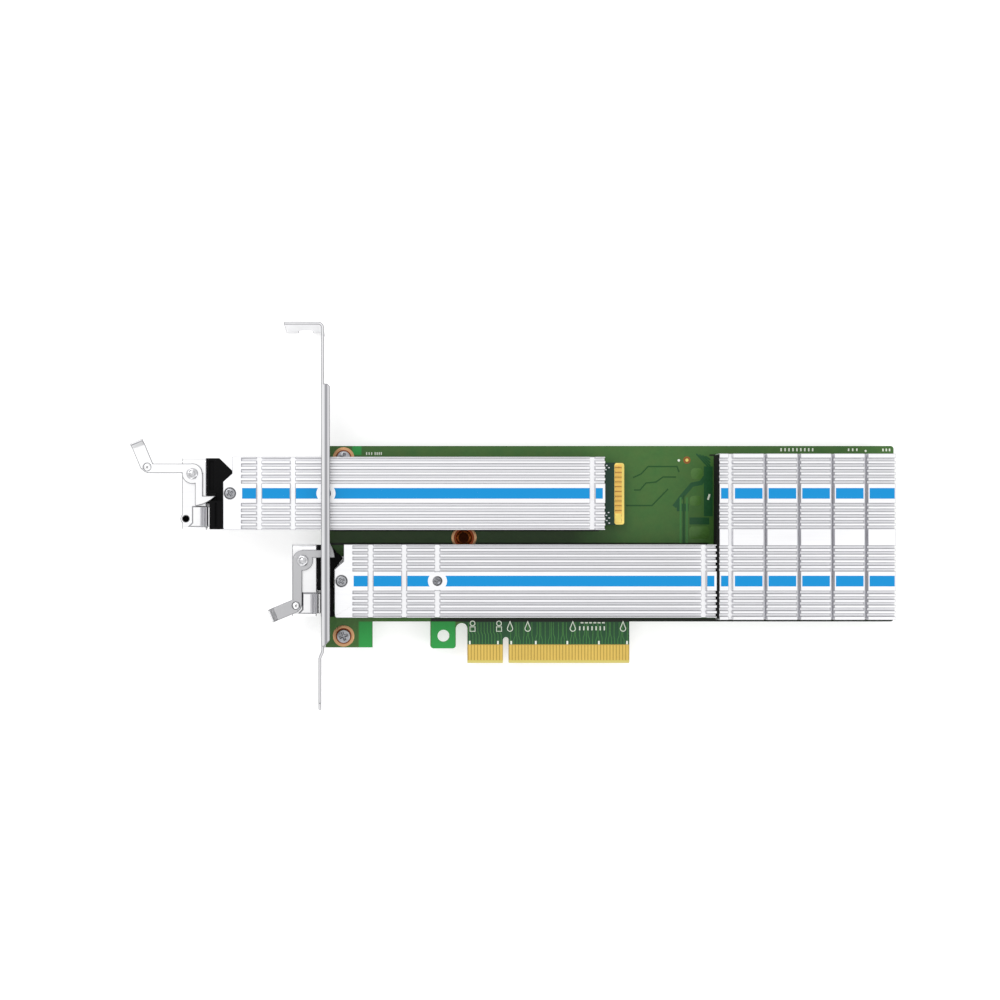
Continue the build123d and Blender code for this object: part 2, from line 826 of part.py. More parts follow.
with BuildPart() as module_chips:
    with BuildSketch(level(module_front)):
        with Locations(*[(module_left + x, 0) for x in memory_chips_in]):
            Rectangle(*memory_chip_size)
        with Locations((module_tip - buffer_chip_in, 0)):
            Rectangle(*buffer_chip_size)
        with Locations((module_tip - control_chip_in, 0)):
            Rectangle(control_chip_size, control_chip_size)
    extrude(amount=chip_height)
save_in_lanes(module_chips.part, "module_chips")

with BuildPart() as thermal_pad:
    with BuildSketch(level(module_front + chip_height)):
        span(module_left + pad_near_in, module_tip - pad_far_in, -pad_width / 2, pad_width / 2)
    extrude(amount=pad_height)
save_in_lanes(thermal_pad.part, "thermal_pad")

module_screw = pan_screw(
    module_head_radius, module_head_height, small_shank_radius, module_thickness + module_shank_in
)
with BuildPart() as module_screw_placed:
    with Locations((module_left, 0, module_front)):
        add(module_screw)
save_in_lanes(module_screw_placed.part, "module_screw")

# Pivot rivet of the lever, fixed in the platform with its head over the lever
with BuildPart() as pivot:
    with BuildSketch(level(lever_front + pivot_head_gap)):
        small_round(pivot_head_radius)
    extrude(amount=pivot_head_height)
    chamfer(pivot.edges().group_by(Axis.Z)[-1], pivot_head_height * head_bevel)
    with BuildSketch(level(platform_back - pivot_tail)):
        small_round(pivot_radius)
    extrude(amount=lever_front + pivot_head_gap - platform_back + pivot_tail)
save_in_lanes(pivot.part.moved(Location((pivot_x, pivot_rise, 0))), "lever_pivot")

# Lever, drawn open with its pivot at the origin: hub, arm, finger tab and claw
tab_angle = 90 + finger_tab_turn
tab_way = (cos(radians(tab_angle)), sin(radians(tab_angle)), 0)
lip_plane = Plane(
    origin=(-lock_hole_along, lock_hole_across, 0), x_dir=tab_way, z_dir=(tab_way[1], -tab_way[0], 0)
)
finger_flat = finger_tab_length - finger_lip_length
lever_middle = (lever_back + lever_front) / 2
with BuildPart() as lever:
    with BuildSketch(level(lever_back)) as lever_outline:
        Circle(claw_radius)
        span(claw_arm_near, claw_radius + 1, -claw_radius - 1, -hook_face, Mode.INTERSECT)
        span(claw_arm_near, claw_arm_far, -hook_face - 1.0, 0)
        Circle(hub_radius)
        span(-lock_hole_along, 0, arm_offset - arm_width / 2, arm_offset + arm_width / 2)
        with Locations((-lock_hole_along, lock_hole_across)):
            Circle(lock_pass_radius + 0.6)
        with Locations(Location((-lock_hole_along, lock_hole_across, 0), (0, 0, tab_angle))):
            Rectangle(finger_flat, finger_tab_width, align=(Align.MIN, Align.CENTER))
        with Locations((0, 0)):
            Circle(pivot_radius + pivot_running_gap, mode=Mode.SUBTRACT)
        with Locations((-lock_hole_along, lock_hole_across)):
            Circle(lock_pass_radius, mode=Mode.SUBTRACT)
    extrude(amount=lever_sheet)
    with BuildSketch(lip_plane):
        with BuildLine():
            FilletPolyline(
                (finger_flat - 1.0, lever_middle),
                (finger_flat + 0.3, lever_middle),
                (finger_tab_length - lever_sheet / 2, lever_middle + finger_lip_rise),
                radius=[finger_bend],
            )
        trace(line_width=lever_sheet)
    extrude(amount=finger_tab_width / 2, both=True)
for lane, lane_y in lanes.items():
    pivot_place = Location((pivot_x + home_offset[lane], lane_y + pivot_rise, 0))
    turned = Location((0, 0, 0), (0, 0, lever_turn[lane] + 90))
    save(lever.part.moved(turned).moved(pivot_place), f"{lane}_lever")
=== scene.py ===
# %% [markdown]
# # Drive adapter card
# The object is an expansion card for a server. A long green board carries an edge connector, a
# folded steel bracket, a fixed finned heatsink and two sleds that slide in through the bracket.
# The upper sled is drawn 34.5 mm out with its lever open; the lower one is home and latched.
# The CAD model is the frame, so every piece made here sits where the CAD says. Sizes below are
# in millimetres and turn into metres in one place, where a mesh is made.

# %% Load the frame
import math

import bmesh
import bpy
import numpy as np
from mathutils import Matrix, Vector


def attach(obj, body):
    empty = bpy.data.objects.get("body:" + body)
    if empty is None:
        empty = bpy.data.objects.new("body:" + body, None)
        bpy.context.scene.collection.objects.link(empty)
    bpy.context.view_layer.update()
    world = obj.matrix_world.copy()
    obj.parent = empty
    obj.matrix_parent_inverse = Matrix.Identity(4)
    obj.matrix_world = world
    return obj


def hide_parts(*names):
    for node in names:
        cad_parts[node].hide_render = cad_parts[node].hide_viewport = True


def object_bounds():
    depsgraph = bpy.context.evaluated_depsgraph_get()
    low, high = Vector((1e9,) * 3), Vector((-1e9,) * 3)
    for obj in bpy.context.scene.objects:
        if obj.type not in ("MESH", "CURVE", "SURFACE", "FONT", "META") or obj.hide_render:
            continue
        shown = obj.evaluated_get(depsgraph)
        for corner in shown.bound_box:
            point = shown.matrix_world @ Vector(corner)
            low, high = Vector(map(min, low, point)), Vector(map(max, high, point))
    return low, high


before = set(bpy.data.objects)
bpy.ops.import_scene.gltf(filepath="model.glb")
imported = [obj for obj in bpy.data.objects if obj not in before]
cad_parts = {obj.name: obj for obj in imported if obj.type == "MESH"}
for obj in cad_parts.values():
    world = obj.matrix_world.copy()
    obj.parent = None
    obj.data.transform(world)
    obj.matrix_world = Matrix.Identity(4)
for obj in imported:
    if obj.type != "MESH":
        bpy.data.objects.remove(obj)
cad_low, cad_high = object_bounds()
MM = 0.001
UPPER_LANE = 53.64
LOWER_LANE = 26.50
UPPER_OUT = 34.50
LANES = {"upper": (-UPPER_OUT, UPPER_LANE), "lower": (0.0, LOWER_LANE)}
BOARD_BACK = -1.57

# %% [markdown]
# ## The camera
# The photo looks straight down. Its lines of sight meet over the point X -51.06, Y 45.40 mm, at
# 480 mm above the board, so the camera stands there. The frame is then shifted sideways rather
# than turned, as with a view camera, because turning it would tilt the card.

# %% Camera
PIXELS_PER_MM = 3.152
CAMERA_HEIGHT = 480.0
PHOTO_SIZE = 1000.0
SIGHT_PIXEL = (345.0, 520.0)
SIGHT_POINT = (-51.06, 45.40)
camera_data = bpy.data.cameras.new("photo_camera")
camera_data.sensor_width = 36.0
camera_data.lens = PIXELS_PER_MM * CAMERA_HEIGHT * camera_data.sensor_width / PHOTO_SIZE
camera_data.shift_x = (PHOTO_SIZE / 2 - SIGHT_PIXEL[0]) / PHOTO_SIZE
camera_data.shift_y = (SIGHT_PIXEL[1] - PHOTO_SIZE / 2) / PHOTO_SIZE
camera_data.clip_start = 0.01
camera_data.clip_end = 20.0
camera = bpy.data.objects.new("photo_camera", camera_data)
camera.location = (SIGHT_POINT[0] * MM, SIGHT_POINT[1] * MM, CAMERA_HEIGHT * MM)
bpy.context.scene.collection.objects.link(camera)
bpy.context.scene.camera = camera
bpy.context.scene.view_settings.view_transform = "Standard"
print("lens", round(camera_data.lens, 2))

# %% [markdown]
# ## Joining nodes
# The world, the floor and every material are built with two small helpers: one joins nodes, and
# the other adds a step of arithmetic.

# %% Joining nodes
def join(tree, *pairs):
    """Links output sockets to input sockets, two at a time."""
    for source, target in pairs:
        tree.links.new(source, target)


def math_node(tree, operation, *values):
    """A Math node whose inputs are sockets or plain numbers."""
    node = tree.nodes.new("ShaderNodeMath")
    node.operation = operation
    for i, value in enumerate(values):
        if hasattr(value, "links"):
            tree.links.new(value, node.inputs[i])
        else:
            node.inputs[i].default_value = value
    return node.outputs[0]


print("joining helpers ready")

# %% [markdown]
# ## Light and floor
# A product photo like this is made in a white tent: light comes from everywhere, a little more
# from above. The world is the tent. It is darker near the horizon, most of all on the side toward
# -Y and +X, so bent sheet metal shows where it turns away. Three lamps give the edges a direction.

# %% Lamps
def lamp(name, place, size, power):
    """A square area lamp at a place in metres that faces the middle of the card."""
    data = bpy.data.lights.new(name, "AREA")
    data.size = size
    data.energy = power
    data.shape = "SQUARE"
    made = bpy.data.objects.new(name, data)
    made.location = place
    aim = Vector((0.0, 0.04, 0.0)) - Vector(place)
    made.rotation_mode = "QUATERNION"
    made.rotation_quaternion = aim.to_track_quat("-Z", "Y")
    bpy.context.scene.collection.objects.link(made)
    return made


lamp("lamp_key", (-0.45, 0.60, 0.95), 0.50, 3.0)
lamp("lamp_right", (0.80, -0.35, 0.70), 0.50, 1.8)
lamp("lamp_low", (-0.30, -0.80, 0.45), 0.40, 1.0)

# %% World
world = bpy.data.worlds.new("tent")
bpy.context.scene.world = world
world.use_nodes = True
sky = world.node_tree
sky.nodes.clear()
sky_out = sky.nodes.new("ShaderNodeOutputWorld")
tent = sky.nodes.new("ShaderNodeBackground")
tent.inputs["Strength"].default_value = 0.97
where = sky.nodes.new("ShaderNodeTexCoord")
split = sky.nodes.new("ShaderNodeSeparateXYZ")
side = sky.nodes.new("ShaderNodeVectorMath")
side.operation = "DOT_PRODUCT"
side.inputs[1].default_value = (0.55, -0.83, 0.0)
level = math_node(sky, "MULTIPLY_ADD", side.outputs["Value"], -0.20, 0.62)
climb = sky.nodes.new("ShaderNodeMapRange")
climb.interpolation_type = "SMOOTHSTEP"
climb.inputs["From Max"].default_value = 0.45
shade = sky.nodes.new("ShaderNodeMix")
shade.inputs[3].default_value = 1.0
join(
    sky,
    (where.outputs["Generated"], split.inputs[0]),
    (where.outputs["Generated"], side.inputs[0]),
    (math_node(sky, "ABSOLUTE", split.outputs["Z"]), climb.inputs["Value"]),
    (climb.outputs["Result"], shade.inputs[0]),
    (level, shade.inputs[2]),
    (shade.outputs[0], tent.inputs["Color"]),
    (tent.outputs[0], sky_out.inputs["Surface"]),
)
print("world made")

# %% [markdown]
# The floor is white, as in the photo. A lift of light, seen by the camera and in metal, keeps it
# white right up to the card while a faint shadow stays. From below it can be looked through, and
# soft light from the tent reaches the solder side through it.

# %% Floor
floor_level = cad_low.z - 0.0002
floor_reach = 4.0
floor_mesh = bpy.data.meshes.new("floor")
floor_turns = ((-1, -1), (1, -1), (1, 1), (-1, 1))
floor_corners = [(x * floor_reach, y * floor_reach, floor_level) for x, y in floor_turns]
floor_mesh.from_pydata(floor_corners, [], [(0, 1, 2, 3)])
floor = bpy.data.objects.new("floor", floor_mesh)
bpy.context.scene.collection.objects.link(floor)
floor_paint = bpy.data.materials.new("floor_paint")
floor_paint.use_nodes = True
floor_nodes = floor_paint.node_tree
floor_nodes.nodes.clear()
floor_out = floor_nodes.nodes.new("ShaderNodeOutputMaterial")
floor_white = floor_nodes.nodes.new("ShaderNodeBsdfDiffuse")
floor_white.inputs["Color"].default_value = (0.62, 0.62, 0.62, 1)
floor_lift = floor_nodes.nodes.new("ShaderNodeEmission")
floor_lift.inputs["Strength"].default_value = 0.50
floor_sum = floor_nodes.nodes.new("ShaderNodeAddShader")
floor_clear = floor_nodes.nodes.new("ShaderNodeBsdfTransparent")
floor_eye = floor_nodes.nodes.new("ShaderNodeLightPath")
floor_side = floor_nodes.nodes.new("ShaderNodeNewGeometry")
eye_rays = floor_eye.outputs
floor_seen = math_node(floor_nodes, "ADD", eye_rays["Is Camera Ray"], eye_rays["Is Glossy Ray"])
floor_metal = math_node(floor_nodes, "ADD", floor_seen, eye_rays["Is Transmission Ray"])
floor_metal.node.use_clamp = True
floor_hidden = math_node(
    floor_nodes, "MAXIMUM", floor_side.outputs["Backfacing"], eye_rays["Is Diffuse Ray"]
)
floor_pick = floor_nodes.nodes.new("ShaderNodeMixShader")
floor_open = floor_nodes.nodes.new("ShaderNodeMixShader")
join(
    floor_nodes,
    (floor_white.outputs[0], floor_sum.inputs[0]),
    (floor_lift.outputs[0], floor_sum.inputs[1]),
    (floor_metal, floor_pick.inputs["Fac"]),
    (floor_white.outputs[0], floor_pick.inputs[1]),
    (floor_sum.outputs[0], floor_pick.inputs[2]),
    (floor_hidden, floor_open.inputs["Fac"]),
    (floor_pick.outputs[0], floor_open.inputs[1]),
    (floor_clear.outputs[0], floor_open.inputs[2]),
    (floor_open.outputs[0], floor_out.inputs["Surface"]),
)
floor_mesh.materials.append(floor_paint)
print("floor at", round(floor_level / MM, 2), "mm")

# %% [markdown]
# ## Helpers for materials
# Colours are read off the photo as ordinary 0 to 255 values, and a shader wants them linear.
# Effects that several finishes share are node groups with named inputs, so every finish sets its
# own scale and strength.

# %% Colour
def linear(red, green, blue):
    """Each channel from the screen's curve to linear light: ((c + 0.055) / 1.055) to the 2.4."""
    c = np.array([red, green, blue]) / 255.0
    low = c / 12.92
    high = ((c + 0.055) / 1.055) ** 2.4
    return (*np.where(c <= 0.04045, low, high), 1.0)


# %% Group builder
FLOAT, COLOUR, VECTOR = "NodeSocketFloat", "NodeSocketColor", "NodeSocketVector"


def new_group(name, inputs, outputs):
    """An empty node group: inputs as (name, socket type, default), outputs as (name, socket type)."""
    group = bpy.data.node_groups.new(name, "ShaderNodeTree")
    for label, kind, default in inputs:
        socket = group.interface.new_socket(label, in_out="INPUT", socket_type=kind)
        socket.default_value = default
    for label, kind in outputs:
        group.interface.new_socket(label, in_out="OUTPUT", socket_type=kind)
    start = group.nodes.new("NodeGroupInput")
    end = group.nodes.new("NodeGroupOutput")
    return group, start, end


def mix_colour(tree, factor, first, second, blend="MIX"):
    """A colour mix. The factor and the two colours are sockets or plain values."""
    node = tree.nodes.new("ShaderNodeMix")
    node.data_type = "RGBA"
    node.blend_type = blend
    for socket, value in ((node.inputs[0], factor), (node.inputs[6], first), (node.inputs[7], second)):
        if hasattr(value, "links"):
            tree.links.new(value, socket)
        else:
            socket.default_value = value
    return node.outputs[2]


def grey_of(tree, value):
    """A colour whose three channels are one value."""
    node = tree.nodes.new("ShaderNodeCombineColor")
    for channel in ("Red", "Green", "Blue"):
        tree.links.new(value, node.inputs[channel])
    return node.outputs["Color"]


def place_of(tree):
    """The object coordinates as three sockets, in millimetres, and the vector itself in metres."""
    spot = tree.nodes.new("ShaderNodeTexCoord")
    split = tree.nodes.new("ShaderNodeSeparateXYZ")
    tree.links.new(spot.outputs["Object"], split.inputs[0])
    parts = [math_node(tree, "MULTIPLY", split.outputs[i], 1 / MM) for i in range(3)]
    return (*parts, spot.outputs["Object"])


def inside(tree, value, low, high, soft=0.05):
    """1 where value lies between low and high, falling to 0 over the soft width on both sides."""
    rise = math_node(tree, "SUBTRACT", value, low)
    rise = math_node(tree, "DIVIDE", rise, soft)
    fall = math_node(tree, "SUBTRACT", high, value)
    fall = math_node(tree, "DIVIDE", fall, soft)
    least = math_node(tree, "MINIMUM", rise, fall)
    node = tree.nodes.new("ShaderNodeClamp")
    tree.links.new(least, node.inputs[0])
    return node.outputs[0]


def away_from(tree, x, y, centre):
    """The distance of a place from a centre, seen from above: the root of the summed squares."""
    away_x = math_node(tree, "POWER", math_node(tree, "SUBTRACT", x, centre[0]), 2.0)
    away_y = math_node(tree, "POWER", math_node(tree, "SUBTRACT", y, centre[1]), 2.0)
    return math_node(tree, "SQRT", math_node(tree, "ADD", away_x, away_y))


def product(tree, first, *others):
    """Several values multiplied, with one Math node for each value after the first."""
    for other in others:
        first = math_node(tree, "MULTIPLY", first, other)
    return first


def inside_box(tree, x, y, box, soft_x, soft_y):
    """1 inside a box of left, right, low and high, seen from above, with soft sides."""
    left, right, low, high = box
    return product(tree, inside(tree, x, left, right, soft_x), inside(tree, y, low, high, soft_y))


print("helpers ready")

# %% Grain group
grain, grain_in, grain_out = new_group(
    "grain",
    [
        ("Colour", COLOUR, (0.8, 0.8, 0.8, 1)),
        ("Stretch", VECTOR, (1.0, 1.0, 1.0)),
        ("Scale", FLOAT, 2000.0),
        ("Shade", FLOAT, 0.05),
        ("Roughness", FLOAT, 0.35),
        ("Rough Change", FLOAT, 0.08),
        ("Height", FLOAT, 0.3),
        ("Depth", FLOAT, 0.00002),
    ],
    [("Colour", COLOUR), ("Roughness", FLOAT), ("Normal", VECTOR)],
)
grain_place = place_of(grain)[3]
grain_map = grain.nodes.new("ShaderNodeMapping")
grain_noise = grain.nodes.new("ShaderNodeTexNoise")
grain_noise.inputs["Detail"].default_value = 3.0
grain_wide = grain.nodes.new("ShaderNodeTexNoise")
grain_wide.inputs["Scale"].default_value = 60.0
grain_bump = grain.nodes.new("ShaderNodeBump")
join(
    grain,
    (grain_place, grain_map.inputs["Vector"]),
    (grain_in.outputs["Stretch"], grain_map.inputs["Scale"]),
    (grain_map.outputs["Vector"], grain_noise.inputs["Vector"]),
    (grain_in.outputs["Scale"], grain_noise.inputs["Scale"]),
    (grain_place, grain_wide.inputs["Vector"]),
)
grain_centre = math_node(grain, "SUBTRACT", grain_noise.outputs["Fac"], 0.5)
wide_centre = math_node(grain, "SUBTRACT", grain_wide.outputs["Fac"], 0.5)
grain_both = math_node(grain, "ADD", grain_centre, wide_centre)
grain_shade = math_node(grain, "MULTIPLY_ADD", grain_both, grain_in.outputs["Shade"], 1.0)
grain_rough = math_node(
    grain, "MULTIPLY_ADD", grain_both, grain_in.outputs["Rough Change"], grain_in.outputs["Roughness"]
)
join(
    grain,
    (mix_colour(grain, 1.0, grain_in.outputs["Colour"], grey_of(grain, grain_shade), "MULTIPLY"),
     grain_out.inputs["Colour"]),
    (grain_noise.outputs["Fac"], grain_bump.inputs["Height"]),
    (grain_in.outputs["Height"], grain_bump.inputs["Strength"]),
    (grain_in.outputs["Depth"], grain_bump.inputs["Distance"]),
    (grain_rough, grain_out.inputs["Roughness"]),
    (grain_bump.outputs["Normal"], grain_out.inputs["Normal"]),
)
print("group:", grain.name)

# %% [markdown]
# The blue stripe is paint on the middle land of the covers and of the fixed heatsink. It lies only
# on the top face, leaves the boss of the cover bare, and stops a little short of each cross slot.

# %% Stripe group
stripe, stripe_in, stripe_out = new_group(
    "stripe",
    [
        ("Lane", FLOAT, LOWER_LANE),
        ("Second Lane", FLOAT, LOWER_LANE),
        ("Half Width", FLOAT, 1.655),
        ("Left", FLOAT, 0.0),
        ("Right", FLOAT, 1.0),
        ("Top", FLOAT, 11.93),
        ("Ring", FLOAT, 0.0),
        ("Ring Radius", FLOAT, 0.0),
        ("Gap Start", FLOAT, 1000.0),
        ("Gap Pitch", FLOAT, 10.0),
        ("Gap Half", FLOAT, 0.0),
    ],
    [("Mask", FLOAT)],
)
stripe_x, stripe_y, stripe_z = place_of(stripe)[:3]
from_lane, from_second = (
    math_node(stripe, "ABSOLUTE", math_node(stripe, "SUBTRACT", stripe_y, stripe_in.outputs[label]))
    for label in ("Lane", "Second Lane")
)
from_centre = math_node(stripe, "MINIMUM", from_lane, from_second)
on_land = math_node(stripe, "LESS_THAN", from_centre, stripe_in.outputs["Half Width"])
on_top = math_node(stripe, "GREATER_THAN", stripe_z, stripe_in.outputs["Top"])
past_left = math_node(stripe, "GREATER_THAN", stripe_x, stripe_in.outputs["Left"])
past_right = math_node(stripe, "LESS_THAN", stripe_x, stripe_in.outputs["Right"])
along_ring = math_node(stripe, "SUBTRACT", stripe_x, stripe_in.outputs["Ring"])
from_ring = math_node(stripe, "SQRT", math_node(
    stripe, "ADD", math_node(stripe, "POWER", along_ring, 2.0), math_node(stripe, "POWER", from_centre, 2.0)
))
off_ring = math_node(stripe, "GREATER_THAN", from_ring, stripe_in.outputs["Ring Radius"])
past_start = math_node(stripe, "SUBTRACT", stripe_x, stripe_in.outputs["Gap Start"])
turns = math_node(stripe, "DIVIDE", past_start, stripe_in.outputs["Gap Pitch"])
from_slot = math_node(
    stripe, "MULTIPLY", math_node(stripe, "PINGPONG", math_node(stripe, "ABSOLUTE", turns), 0.5),
    stripe_in.outputs["Gap Pitch"]
)
off_slot = math_node(stripe, "GREATER_THAN", from_slot, stripe_in.outputs["Gap Half"])
stripe_mask = product(stripe, on_land, on_top, past_left, past_right, off_ring, off_slot)
join(stripe, (stripe_mask, stripe_out.inputs["Mask"]))
print("group:", stripe.name)

# %% Finish builder
def finish(name, colour, metallic, rough, stretch=(1, 1, 1), scale=2000.0, shade=0.08, change=0.1,
           height=0.25, depth=0.00001, specular=0.5):
    """A material of one Principled shader fed by the grain group, with constant values on its sockets."""
    made = bpy.data.materials.new(name)
    made.use_nodes = True
    tree = made.node_tree
    shader = tree.nodes["Principled BSDF"]
    shader.inputs["Metallic"].default_value = metallic
    shader.inputs["Specular IOR Level"].default_value = specular
    surface = tree.nodes.new("ShaderNodeGroup")
    surface.node_tree = grain
    surface.name = "surface"
    values = {
        "Colour": colour, "Stretch": stretch, "Scale": scale, "Shade": shade, "Roughness": rough,
        "Rough Change": change, "Height": height, "Depth": depth,
    }
    for label, value in values.items():
        surface.inputs[label].default_value = value
    join(
        tree,
        (surface.outputs["Colour"], shader.inputs["Base Color"]),
        (surface.outputs["Roughness"], shader.inputs["Roughness"]),
        (surface.outputs["Normal"], shader.inputs["Normal"]),
    )
    return made


def colour_of(tree):
    """The colour that the grain group of a finish gives."""
    return tree.nodes["surface"].outputs["Colour"]


def recolour(tree, colour):
    """Feeds another colour to the shader of a finish in place of the grain group's."""
    join(tree, (colour, tree.nodes["Principled BSDF"].inputs["Base Color"]))


ALONG_X = (0.02, 1, 1)
ALONG_Y = (1, 0.02, 1)
EVEN = (1, 1, 1)
bracket_steel = finish("bracket_steel", linear(226, 226, 228), 1.0, 0.32, ALONG_Y, 3000, 0.10)
sled_steel = finish("sled_steel", linear(245, 245, 246), 1.0, 0.34, ALONG_X, 3000, 0.05)
# Painted shade: the lower lever takes a darker copy of the sled's steel.
shaded_lever_steel = finish("shaded_lever_steel", linear(190, 190, 192), 1.0, 0.34, ALONG_Y, 3000, 0.12)
# Darker finishes for the bevels: painted shade along the edges; the sheared steel edges are also duller.
sheared_and_shaded_steel = finish("sheared_and_shaded_steel", linear(158, 158, 161), 1.0, 0.42, EVEN, 2600, 0.20)
edge_shade_aluminium = finish("edge_shade_aluminium", linear(186, 186, 190), 1.0, 0.42, EVEN, 2600, 0.12)
spring_steel = finish("spring_steel", linear(214, 214, 217), 1.0, 0.34, ALONG_Y, 3000, 0.12)
screw_steel = finish("screw_steel", linear(168, 169, 173), 1.0, 0.30, EVEN, 2500, 0.16)
pivot_steel = finish("pivot_steel", linear(206, 206, 208), 1.0, 0.28, EVEN, 2500, 0.12)
# Near black steel for the plate on the lever studs: painted shade.
slot_shade_steel = finish("slot_shade_steel", linear(34, 34, 36), 1.0, 0.50, EVEN, 2500, 0.20)
gold = finish("gold", linear(226, 194, 102), 1.0, 0.30, (1, 0.1, 1), 2500, 0.14)
pale_gold = finish("pale_gold", linear(234, 210, 118), 1.0, 0.34, EVEN, 2500, 0.12)
brass = finish("brass", linear(205, 180, 120), 1.0, 0.30, EVEN, 2500, 0.10)
tin = finish("tin", linear(206, 208, 210), 1.0, 0.35, EVEN, 3000, 0.14)
black_plastic = finish(
    "black_plastic", linear(5, 5, 6), 0.0, 0.52, EVEN, 2600, 0.40, 0.1, 0.4, 0.00002, specular=0.08
)
# Black rubber for the bumper strip; on the pressed nuts the same black is painted shade.
black_rubber = finish(
    "black_rubber", linear(10, 10, 10), 0.0, 0.75, EVEN, 3500, 0.40, 0.1, 0.8, 0.00005, specular=0.2
)
chip_resin = finish(
    "chip_resin", linear(30, 30, 32), 0.0, 0.55, EVEN, 4000, 0.35, 0.1, 0.5, 0.00002, specular=0.3
)
pad_grey = finish("pad_grey", linear(140, 148, 160), 0.0, 0.80, EVEN, 2200, 0.20, 0.1, 0.6, 0.00005)
ceramic_tan = finish("ceramic_tan", linear(158, 126, 92), 0.0, 0.45, EVEN, 3000, 0.20)
module_mask = finish("module_mask", linear(18, 52, 38), 0.0, 0.36, EVEN, 1200, 0.30, specular=0.3)
track_mask = finish("track_mask", linear(62, 118, 58), 0.0, 0.34, EVEN, 1200, 0.24, specular=0.3)
teal_mask = finish("teal_mask", linear(28, 78, 42), 0.0, 0.34, EVEN, 1200, 0.40, specular=0.3)
leaf_mask = finish("leaf_mask", linear(72, 112, 50), 0.0, 0.34, EVEN, 1200, 0.30, specular=0.3)
dark_mask = finish("dark_mask", linear(24, 74, 24), 0.0, 0.34, EVEN, 1200, 0.24, specular=0.3)
print_white = finish("print_white", linear(222, 228, 214), 0.0, 0.60, EVEN, 4000, 0.16)
bare_brown = finish("bare_brown", linear(136, 82, 34), 0.0, 0.50, EVEN, 2600, 0.40, specular=0.3)
laminate_tan = finish("laminate_tan", linear(206, 120, 40), 0.0, 0.50, EVEN, 2600, 0.40)
print("finishes:", len(bpy.data.materials))

# %% Painted aluminium
# Heights of the groove and slot floors that take painted shade, and the radius of the painted shade round the
# plate screw.
GROOVE_FLOOR = (9.5, 11.80)
SLOT_FLOOR = (9.5, 10.55)
WELL_SHADE_RADIUS = 2.00


def striped(name, left, right, lane, second_lane=None, ring=0.0, ring_radius=0.0, gaps=(1000.0, 10.0, 0.0),
            bright=(), well_shade_centre=None, groove_shade=228):
    """Brushed aluminium with the blue stripe, painted shade in the grooves, the slots and round the screw;
    the lit channels stay bright.
    """
    made = finish(name, linear(246, 246, 248), 1.0, 0.38, ALONG_X, 2500, 0.06, specular=0.2)
    tree = made.node_tree
    paint = tree.nodes.new("ShaderNodeGroup")
    paint.node_tree = stripe
    values = {
        "Lane": lane, "Second Lane": second_lane or lane, "Left": left, "Right": right, "Ring": ring,
        "Ring Radius": ring_radius, "Gap Start": gaps[0], "Gap Pitch": gaps[1], "Gap Half": gaps[2],
    }
    for label, value in values.items():
        paint.inputs[label].default_value = value
    spot_x, spot_y, spot_z = place_of(tree)[:3]
    # Painted shade: groove and slot floors are painted darker than the tops; the channels given stay bright,
    # as lit.
    groove = inside(tree, spot_z, *GROOVE_FLOOR, 0.08)
    for low, high in bright:
        groove = math_node(tree, "SUBTRACT", groove, inside(tree, spot_x, low, high, 0.04))
    groove = math_node(tree, "MAXIMUM", groove, 0.0)
    slot = inside(tree, spot_z, *SLOT_FLOOR, 0.08)
    colour = mix_colour(tree, groove, colour_of(tree), linear(groove_shade, groove_shade, groove_shade + 3))
    colour = mix_colour(tree, slot, colour, linear(214, 214, 218))
    # Painted shade round the plate screw's head.
    if well_shade_centre:
        away = away_from(tree, spot_x, spot_y, well_shade_centre)
        colour = mix_colour(tree, inside(tree, away, -1.0, WELL_SHADE_RADIUS, 0.12), colour, linear(64, 64, 68))
    bare = math_node(tree, "SUBTRACT", 1.0, paint.outputs["Mask"])
    recolour(tree, mix_colour(tree, paint.outputs["Mask"], colour, linear(8, 136, 200)))
    join(tree, (bare, tree.nodes["Principled BSDF"].inputs["Metallic"]))
    return made


COVER_STRIPE = (-48.40, 63.20)
BOSS_X = -22.45
BOSS_BARE = 2.95
PLATE_SCREW_X = -52.16
CHANNELS = (-43.14, -32.72, BOSS_X, 60.06)
CHANNEL_HALF = 0.80
BLOCK_STRIPE = (65.25, 119.00)
BLOCK_GAPS = (79.03, 10.417, 0.92)
BLOCK_CHANNEL = (67.65, 68.95)
# Grey of the painted shade in the grooves, darker on the lower sled.
GROOVE_SHADE_GREY = {"upper": 236, "lower": 222}
cover_metal = {
    lane: striped(
        f"{lane}_cover_metal", COVER_STRIPE[0] + shift, COVER_STRIPE[1] + shift, lane_y,
        ring=BOSS_X + shift, ring_radius=BOSS_BARE,
        bright=[(x + shift - CHANNEL_HALF, x + shift + CHANNEL_HALF) for x in CHANNELS],
        well_shade_centre=(PLATE_SCREW_X + shift, lane_y), groove_shade=GROOVE_SHADE_GREY[lane]
    )
    for lane, (shift, lane_y) in LANES.items()
}
block_metal = striped(
    "block_metal", *BLOCK_STRIPE, LOWER_LANE, UPPER_LANE, gaps=BLOCK_GAPS, bright=[BLOCK_CHANNEL]
)
print("striped metals made")

# %% [markdown]
# The board's mask is dark where copper planes lie under it and bright where they are left out, as
# at the hook tab and beside the lower screw. Its cut edges and the strip between the gold fingers
# show bare laminate. Darker bands on the front stand for the shade beside the sleds in the photo.

# %% Board
CLEAR_BOXES = [
    (-46.90, -42.20, 0.0, 13.40),
    (-24.00, -15.80, 0.0, 13.40),
    (-49.00, -45.60, 65.80, 69.20),
]
